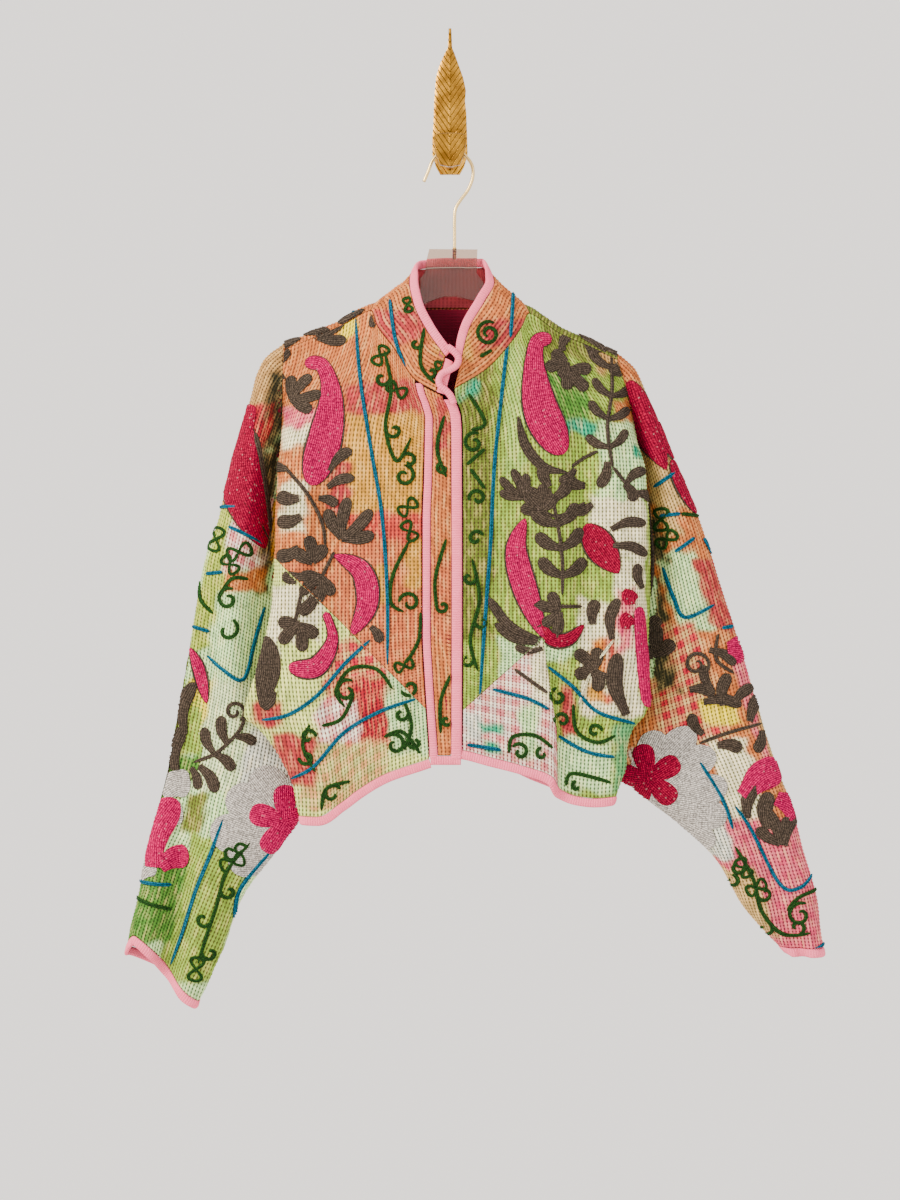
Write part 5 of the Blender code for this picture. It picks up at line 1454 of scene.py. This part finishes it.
class Wool:
    """Collects the strokes of one panel and makes one mesh of them."""

    def __init__(self, name, panel, clip=None, way=1.0):
        self.name = name
        self.panel = panel
        self.clip = clip
        self.way = way
        self.points, self.faces, self.uvs, self.dyes = [], [], [], []
        self.count = 0
        self.missed = 0

    def land(self, x, z, height):
        """The place above the cloth at x and z millimetres, or None off the panel."""
        if self.clip is not None and not self.clip(x, z):
            return None
        start = Vector((x, EYE_Y / MM * self.way, z))
        found, normal, _, _ = self.panel.tree.ray_cast(start, Vector((0.0, self.way, 0.0)))
        if found is None:
            return None
        normal = normal if normal.y * self.way < 0 else -normal
        return found + normal * height

    def stroke(self, kind, dye, width, points, under=0.0):
        """One filled shape or line along a spine of (x, z) points."""
        line, run = resampled(np.pad(smooth_line(points), ((0, 0), (0, 1))), STITCH_STEP)
        line = line[:, :2]
        along = unit(np.gradient(line, axis=0))
        aside = np.stack((-along[:, 1], along[:, 0]), -1)
        t = run / max(run[-1], 1e-6)
        half = np.maximum(width * width_along(kind, t) / 2, POINT_HALF)
        columns = max(4, round(width / FILL_COLUMN))
        across = np.linspace(-1.0, 1.0, columns + 1)
        colour = linear(*WOOLS[dye])
        dome = LOW_DOME if dye == LOW_DYE or under else DOME
        rows = []
        for k in range(len(line)):
            row = []
            for c in across:
                x, z = line[k] + aside[k] * half[k] * c
                round_off = math.sqrt(max(0.0, 1 - abs(c) ** 3)) * min(1.0, half[k] / FULL_DOME_HALF)
                place = self.land(x, z, SET_UP - under + dome * round_off)
                if place is None:
                    row.append(None)
                    self.missed += 1
                    continue
                self.points.append(place)
                self.uvs.append((half[k] * c, run[k]))
                self.dyes.append(colour)
                row.append(self.count)
                self.count += 1
            rows.append(row)
        for low, high in zip(rows, rows[1:]):
            for k in range(columns):
                quad = [low[k], low[k + 1], high[k + 1], high[k]]
                if None not in quad:
                    self.faces.append(quad)

    def edged(self, kind, dye, width, points):
        """A shape with a brown line round it."""
        self.stroke(kind, "brown", width + 2 * OUTLINE, points, UNDER)
        self.stroke(kind, dye, width, points)

    def line(self, dye, points):
        self.stroke("line", dye, LINE_WIDTH, points)

    def leaf(self, dye, x, z, length, angle, width=10.0, bend=0.12):
        """A leaf or finger from its foot at x and z, pointing at an angle in degrees."""
        a = math.radians(angle)
        length *= math.sqrt(LEAF_FULL)
        tip = (x + length * math.cos(a), z + length * math.sin(a))
        bow = length * bend
        middle = ((x + tip[0]) / 2 - bow * math.sin(a), (z + tip[1]) / 2 + bow * math.cos(a))
        self.stroke("finger", dye, width * LEAF_FULL, ((x, z), middle, tip))

    def hand(self, dye, x, z, length, angle, fingers=4, spread=110.0, width=10.0):
        """A leaf of several fingers that spread from one foot."""
        for k in range(fingers):
            turn = angle - spread / 2 + spread * k / max(1, fingers - 1)
            reach = length * (1.0 if 0 < k < fingers - 1 else 0.8)
            self.leaf(dye, x, z, reach, turn, width, 0.06 if turn > angle else -0.06)

    def stem(self, dye, pairs, length, width, points):
        """A stem with paired leaves."""
        self.line(dye, points)
        line = smooth_line(points)
        for k in range(pairs):
            at = int((k + 1) / (pairs + 0.6) * (len(line) - 2))
            heading = math.degrees(math.atan2(*(line[at + 1] - line[at])[::-1]))
            for side in (-1, 1):
                self.leaf(dye, *line[at], length, heading + side * LEAF_OPEN, width, 0.1 * side)
        heading = math.degrees(math.atan2(*(line[-1] - line[-2])[::-1]))
        self.leaf(dye, *line[-1], length * 0.8, heading, width)

    def flower(self, dye, x, z, length, petals=5, turn=10.0, width=19.0):
        for k in range(petals):
            self.leaf(dye, x, z, length, turn + 360.0 * k / petals, width, 0.0)

    def curl(self, dye, x, z, radius, turns, start, hand=1):
        """A spiral scroll that winds in to its middle."""
        steps = max(8, int(CURL_POINTS * turns))
        points = []
        for k in range(steps + 1):
            share = k / steps
            a = math.radians(start + hand * 360.0 * turns * share)
            r = radius * (1 - 0.8 * share)
            points.append((x + r * math.cos(a), z + r * math.sin(a)))
        self.line(dye, points)

    def loops(self, dye, x, z, size, angle):
        """A pair of small open loops, as a figure of eight."""
        c, s = math.cos(math.radians(angle)), math.sin(math.radians(angle))
        points = []
        for k in range(LOOP_POINTS + 1):
            a = 2 * math.pi * k / LOOP_POINTS
            u, v = size * math.sin(a), size * 0.55 * math.sin(2 * a)
            points.append((x + u * c - v * s, z + u * s + v * c))
        self.stroke("line", dye, LOOP_WIDTH, points)

    def vine(self, dye, sprigs, size, points):
        """A thin winding stem with curls that leave it on alternate sides."""
        self.line(dye, points)
        line = smooth_line(points)
        for k in range(sprigs):
            at = int((k + 0.6) / sprigs * (len(line) - 2))
            hand = 1 if k % 2 else -1
            heading = math.atan2(*(line[at + 1] - line[at])[::-1])
            side = heading + hand * math.pi / 2
            x, z = line[at] + np.array((math.cos(side), math.sin(side))) * size
            self.curl(dye, x, z, size, 0.9, math.degrees(side) + 180.0, hand)

    def made(self):
        points = np.array([tuple(point) for point in self.points])
        made = mesh_object(self.name, points, self.faces, (wool,), self.uvs)
        store_colours(made.data, "wool", self.dyes)
        made.data.shade_smooth()
        first = made.data.polygons[len(made.data.polygons) // 2].normal
        if first.y * self.way > 0:
            made.data.flip_normals()
        print(self.name, "faces:", len(self.faces), "points off the panel:", self.missed)
        return made


# %% [markdown]
# A row of the motifs names a shape and its dye, which the next rows share until another comes. Its
# numbers follow as that shape's function asks for them, then the points of its spine as x,z pairs.

# %% Motifs
MOTIFS = {
    "front_right": """
edged paisley magenta 36 -160,-266 -140,-270 -130,-302 -136,-350 -152,-402
hand brown -174 -306 30 30 4 120 10; -146 -238 36 60 4 130 10; leaf brown -86 -228 16 60 9
-184 -284 30 110 11; -192 -276 26 60 10; -132 -386 30 42 10; -134 -404 28 18 9; -144 -416 20 -20 9
hand brown -118 -460 40 62 4 110 11; line brown -186,-376 -158,-408 -140,-442 -136,-470
leaf brown -164 -416 22 170 12; -162 -436 24 190 12; -164 -470 24 200 12; -178 -384 22 150 10
hand brown -150 -486 26 100 3 90 11; line blue -104,-216 -98,-284 -86,-362 -74,-434 -68,-522 -68,-598
vine green 3 9 -72,-254 -64,-296 -70,-340 -58,-376 -42,-350; curl green -50 -392 12 1.2 90 -1
loops green -76 -260 11 60; -58 -298 11 150; -46 -426 11 40; -44 -452 11 120
line green -44,-462 -62,-500 -64,-530 -50,-540; curl green -44 -530 12 1.1 180 -1
line green -32,-540 -34,-570 -48,-596; loops green -50 -598 10 20; curl green -44 -622 10 1 200 1
edged crescent magenta 24 -126,-478 -96,-496 -90,-532 -108,-566; hand brown -140 -502 26 240 4 120 10
line brown -140,-502 -126,-474; leaf brown -146 -516 28 235 11; -158 -500 22 180 11; -86 -556 18 -60 9
hand brown -164 -554 26 250 4 150 11; line brown -160,-510 -168,-548 -176,-570
stroke leaf brown 28 -200,-566 -198,-602 -206,-644; leaf brown -198 -570 24 200 12; -192 -626 20 230 12
edged paisley magenta 20 -136,-540 -128,-570 -146,-600 -176,-600
line blue -86,-570 -114,-596 -146,-632 -176,-652 -206,-658
-36,-634 -76,-648 -116,-672 -148,-708 -174,-722; curl green -112 -626 13 1.1 60 1
line green -62,-624 -80,-602 -108,-602 -124,-626 -114,-644; -104,-628 -118,-656 -140,-664
curl green -154 -676 9 1 0 1; -156 -698 9 1 180 1; line green -152,-662 -160,-686 -146,-714
curl green -60 -684 12 1.1 120 -1; line green -72,-676 -52,-670 -32,-694; curl green -128 -738 11 1 30 1
line green -140,-756 -134,-732 -108,-724; vine green 2 8 -50,-636 -42,-664 -50,-690
""",
    "shoulders": """
stroke leaf brown 12 -206,-258 -192,-248 -164,-238; 13 -164,-234 -144,-230 -114,-248
9 -124,-222 -108,-214 -94,-206; 8 -90,-208 -82,-216 -74,-228
stroke leaf green 9 94,-196 108,-206 122,-216; stroke leaf brown 13 140,-230 160,-240 172,-254
12 170,-248 190,-256 204,-276; line blue -104,-216 -108,-204; 72,-196 74,-184
""",
    "placket_band": """
line green -6,-326 -14,-362 -4,-394; curl green -8 -384 7 1 90 1; line green -4,-460 -16,-504 -14,-540
curl green -8 -534 7 1 180 1; line green 2,-606 -10,-636 -10,-672; curl green -4 -658 6 1 0 -1
""",
    "front_left": """
line blue 72,-196 64,-240 56,-306 48,-384 44,-466 38,-548 32,-636
edged paisley magenta 38 112,-240 96,-244 92,-272 98,-316 112,-348 124,-368
line brown 128,-250 116,-254; hand brown 128 -266 22 200 3 100 11; 132 -274 26 -50 3 100 11
leaf brown 122 -252 20 60 9; stroke crescent brown 12 74,-326 82,-358 102,-382 128,-388
hand brown 80 -416 30 125 4 80 8; stem brown 4 25 8 178,-384 172,-340 178,-296 178,-252
leaf brown 172 -376 26 250 10; 154 -252 26 0 10; 146 -240 24 -60 9; hand brown 198 -276 26 120 3 90 10
line brown 132,-382 146,-372 162,-364; leaf brown 136 -384 20 220 9; 148 -402 22 160 11
156 -422 20 200 10; line brown 178,-382 192,-400 212,-416; leaf brown 192 -400 24 35 9
190 -400 20 -60 10; 202 -410 20 -20 9; stem brown 4 28 11 122,-522 122,-482 116,-438 108,-404
hand brown 100 -430 26 110 4 120 10; line brown 88,-420 116,-436 148,-420; leaf brown 176 -450 34 10 9
178 -468 34 -15 9; 210 -514 24 100 9; edged leaf crimson 32 148,-444 162,-466 184,-498
edged crescent magenta 26 82,-438 72,-472 82,-516 102,-568; leaf brown 96 -570 62 140 9
96 -574 46 155 8; 100 -580 26 175 7; hand brown 118 -540 26 190 4 150 10; line brown 100,-534 144,-534
122,-540 116,-570; edged crescent crimson 14 96,-546 108,-568 128,-570 146,-554
hand brown 158 -602 26 140 3 110 11; leaf brown 156 -600 24 -80 11; 156 -554 24 80 11; 192 -652 60 98 14
176 -570 40 80 10; 172 -610 26 150 9; stroke line magenta 15 206,-534 210,-588 216,-644
leaf crimson 196 -532 14 80 14; 190 -558 14 60 13; stroke line cream 3 140,-642 154,-606 178,-570
line blue 104,-598 132,-620 160,-648 202,-662; 116,-674 148,-692 180,-698
curl green 118 -632 10 1.1 100 1; 122 -658 9 1.1 200 -1; line green 134,-640 138,-670 160,-682 180,-674
curl green 158 -670 8 1 0 1; line green 126,-730 134,-716 176,-726; curl green 138 -730 6 0.8 90 1
26 -356 12 1.2 60 1; line green 18,-380 38,-362; curl green 30 -416 10 1.1 200 -1
line green 20,-302 38,-334 22,-342; 22,-384 38,-406; vine green 3 8 24,-482 32,-526 22,-570 30,-604
curl green 28 -460 9 1 20 1; leaf brown 140 -216 20 -30 9; line blue 46,-624 84,-634 108,-646
line brown 70,-602 106,-628; curl green 76 -692 10 1.1 150 -1
line green 64,-694 68,-676 92,-674 112,-688; curl green 100 -694 7 0.9 90 1; line blue 18,-684 56,-690
""",
    "sleeve_right": """
stroke line crimson 20 -222,-310 -228,-350; edged leaf crimson 50 -224,-328 -232,-384 -206,-470
stroke line crimson 20 -240,-360 -248,-410; line brown -236,-408 -218,-430 -202,-460
leaf lilac -242 -360 16 10 8; stroke line brown 6 -214,-342 -206,-394 -200,-452
line blue -260,-424 -234,-424; -244,-446 -222,-456 -204,-468; -270,-498 -250,-496; -286,-556 -266,-562
-270,-588 -250,-604 -228,-614 -216,-570 -206,-534; loops green -258 -460 13 70; -232 -474 13 20
-242 -488 11 130; curl green -244 -526 13 1.2 60 1; line green -222,-504 -240,-504 -256,-526
curl green -246 -560 14 0.8 60 -1; line green -278,-500 -276,-526 -262,-542
edged crescent magenta 13 -288,-580 -278,-606 -270,-642; curl brown -238 -650 12 1.3 -60 1
line brown -226,-648 -232,-670 -258,-696 -286,-708; leaf brown -246 -686 28 100 10; -262 -696 26 110 10
-260 -698 24 -40 10; -236 -678 20 -20 9; -278 -712 30 -55 11; -288 -714 22 -70 9; -296 -676 52 78 12
-306 -716 42 80 14; leaf lilac -320 -742 30 20 24; -320 -774 24 30 22; -344 -834 22 40 18
leaf magenta -328 -822 68 72 26; -320 -822 30 20 20; line blue -348,-838 -308,-842
line green -350,-856 -308,-870; hand lilac -170 -798 84 142 5 96 34; flower magenta -182 -772 36 5 20 20
line blue -250,-768 -264,-808 -280,-848 -296,-896 -310,-932; -200,-806 -224,-834 -236,-856 -240,-890
vine green 4 9 -220,-794 -246,-826 -258,-866 -268,-896 -278,-928; loops green -280 -934 13 80
-240 -816 13 20; curl green -232 -802 8 1 0 1
""",
    "sleeve_left": """
edged leaf crimson 30 198,-284 214,-328 238,-384; 13 232,-328 240,-356 256,-376
19 244,-372 258,-400 272,-432; line blue 226,-402 248,-386; 232,-434 254,-432
line green 254,-432 276,-434; line blue 248,-474 270,-458; 280,-458 292,-478
236,-490 248,-526 260,-546 292,-532; 300,-558 314,-556; loops green 234 -438 12 90; 240 -460 11 40
line brown 220,-416 226,-482 222,-526; hand brown 226 -588 30 110 4 150 12; leaf brown 220 -570 24 60 12
curl brown 272 -598 15 1.4 -40 1; line brown 296,-564 294,-592 314,-608; leaf brown 286 -582 30 -30 9
leaf magenta 306 -582 22 -10 24; line brown 346,-664 308,-674 276,-686; leaf brown 264 -626 26 -10 10
280 -640 38 -5 10; 302 -644 32 80 11; 332 -662 34 60 12; 296 -688 24 -10 11; 346 -672 22 -110 10
314 -642 26 40 10; 280 -676 24 120 10; 290 -626 26 110 9; hand lilac 212 -746 84 10 7 128 27
flower crimson 220 -724 34 5 30 19; leaf magenta 324 -744 48 35 26; 360 -746 36 -40 22
376 -772 24 40 20; leaf brown 328 -768 34 75 12; 350 -780 36 85 14; 368 -798 40 60 12
hand brown 364 -796 34 110 3 70 10; line blue 314,-754 332,-780 364,-840 386,-844 406,-826
276,-706 300,-746 312,-780; 354,-908 380,-918 426,-904
vine green 4 9 314,-798 334,-834 344,-870 368,-896 398,-894; curl green 386 -874 14 1.2 60 1
line green 424,-844 386,-854 372,-870; loops green 324 -822 11 120; 338 -844 11 30
curl green 312 -838 8 1 90 -1
""",
    "collar": """
line blue -66,-196 -60,-240 -48,-276; vine green 2 6 -28,-230 -32,-270 -16,-292
loops green -46 -204 8 100; -8 -270 8 20; curl green 42 -236 14 1.6 60 1; line green 32,-262 46,-254
line blue 70,-182 66,-240
""",
    "back": """
stem brown 4 26 10 -66,-548 -58,-482 -68,-416 -60,-350; 4 26 10 76,-548 68,-482 80,-416 70,-350
edged paisley magenta 32 -32,-262 -16,-276 -12,-318 -24,-362; 32 46,-262 28,-276 24,-318 38,-362
flower crimson 6 -482 38 6 0 20; vine green 5 10 -116,-592 -110,-504 -122,-416 -108,-328 -116,-262
5 10 126,-592 122,-504 132,-416 118,-328 126,-262; line blue -164,-636 -76,-626 6,-606 88,-626 164,-636
""",
}

# %% Embroidering the panels


def inside(corners):
    """A test of whether a place lies inside an outline of (x, z) corners."""
    edges = list(zip(corners, corners[1:] + corners[:1]))

    def test(x, z):
        crossings = 0
        for (ax, az), (bx, bz) in edges:
            if (az > z) != (bz > z) and x < ax + (bx - ax) * (z - az) / (bz - az):
                crossings += 1
        return crossings % 2 == 1

    return test


def outside(corners):
    test = inside(corners)
    return lambda x, z: not test(x, z)


def as_number(word):
    return float(word) if "." in word else int(word)


def embroidered(name, panel, clip=None, way=1.0, motifs=None):
    """The wool of one panel, worked from its own rows of motifs or those of the panel named."""
    piece = Wool("wool_" + name, panel, clip, way)
    words = []
    for row in rows_of(MOTIFS[motifs or name]):
        words = [word for word in row if word.isalpha()] or words
        rest = [word for word in row if not word.isalpha()]
        settings = [as_number(word) for word in rest if "," not in word]
        points = [tuple(map(as_number, word.split(","))) for word in rest if "," in word]
        getattr(piece, words[0])(*words[1:], *settings, *([points] if points else []))
    return piece.made()


embroidery = {}
for side, cut in (("right", RIGHT_PANEL_CUT), ("left", LEFT_PANEL_CUT)):
    front = "front_" + side
    lower = "lower_panel_" + side
    embroidery[front] = embroidered(front, panels[front], outside(cut))
    embroidery[lower] = embroidered(lower, panels[lower], inside(cut), motifs=front)
for name in ("placket_band", "sleeve_right", "sleeve_left", "collar"):
    embroidery[name] = embroidered(name, panels[name])
embroidery["shoulders"] = embroidered("shoulders", panels["back"], lambda x, z: z > SHOULDER(x) - 1)
embroidery["back"] = embroidered("back", panels["back"], way=-1.0)

# %% [markdown]
# Every piece now takes the place of its CAD node and rides on the one body. The size of each panel's cut
# cloth, across, or all round for a sleeve, and down, is listed with its trims, which are gathered but not
# used further.

# %% Places and cut cloth
# Flat cloth of each panel: width, length and area, in metres and square metres
CUTS = {
    "front_right": (0.24, 0.51, 0.064), "front_left": (0.25, 0.50, 0.108),
    "lower_panel_right": (0.24, 0.31, 0.049), "lower_panel_left": (0.12, 0.16, 0.010),
    "back": (0.45, 0.57, 0.214), "sleeve_right": (0.36, 0.75, 0.166), "sleeve_left": (0.35, 0.74, 0.150),
    "collar": (0.37, 0.06, 0.0185), "placket_band": (0.03, 0.40, 0.009),
}
TRIMS = {
    "front_right": ("placket_strip",), "front_left": ("binding_hem_left",),
    "lower_panel_right": ("binding_hem_right",), "back": ("binding_hem_back",),
    "sleeve_right": ("binding_cuff_right",), "sleeve_left": ("binding_cuff_left",),
    "collar": ("binding_collar", "binding_collar_end", "closure_loop"),
    "placket_band": ("binding_front_edge", "binding_hem_placket"),
}

made_pieces = {name: panel.object for name, panel in panels.items()} | bindings | hardware
for name, made in made_pieces.items():
    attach(made, BODY)
    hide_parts(name)
for made in embroidery.values():
    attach(made, BODY)
for name, (width, length, area) in CUTS.items():
    trims = [made_pieces[trim] for trim in TRIMS.get(name, ())]
    trims += [embroidery[name]] if name in embroidery else []
print("pieces:", len(made_pieces) + len(embroidery))

# %% [markdown]
# Soft studio light: a big key lamp high on the viewer's left, a weak fill from the right and a pale,
# even surround. The floor is pale and only catches the light under the jacket.

# %% Floor, lights and surround
FLOOR_Z = -1.45

bpy.ops.mesh.primitive_plane_add(size=3.0, location=(0.0, -0.7, FLOOR_Z))
floor = bpy.context.object
floor.name = "studio_floor"
bpy.ops.object.transform_apply(location=True, rotation=False, scale=False)
paper = new_material("white_studio_paper", base_color=linear("#e9e8e6"), roughness=0.9)[0]
floor.data.materials.append(paper)


def area_light(name, place, aim, size, power, hex_colour):
    """A square area lamp that looks at a point."""
    bpy.ops.object.light_add(type="AREA", location=place)
    lamp = bpy.context.object
    lamp.name = name
    lamp.data.size = size
    lamp.data.energy = power
    lamp.data.color = linear(hex_colour)[:3]
    lamp.rotation_euler = (Vector(aim) - Vector(place)).to_track_quat("-Z", "Y").to_euler()


area_light("key_light", (-2.1, -1.7, 1.0), (0.0, -0.05, -0.55), 1.1, 170.0, "#fffaf2")
area_light("fill_light", (1.9, -2.0, 0.0), (0.0, -0.05, -0.6), 1.8, 30.0, "#f4f7ff")

world = bpy.data.worlds.new("studio_surround")
world.use_nodes = True
background = world.node_tree.nodes["Background"]
background.inputs["Color"].default_value = linear("#fbf4ee")
background.inputs["Strength"].default_value = 1.85
bpy.context.scene.world = world
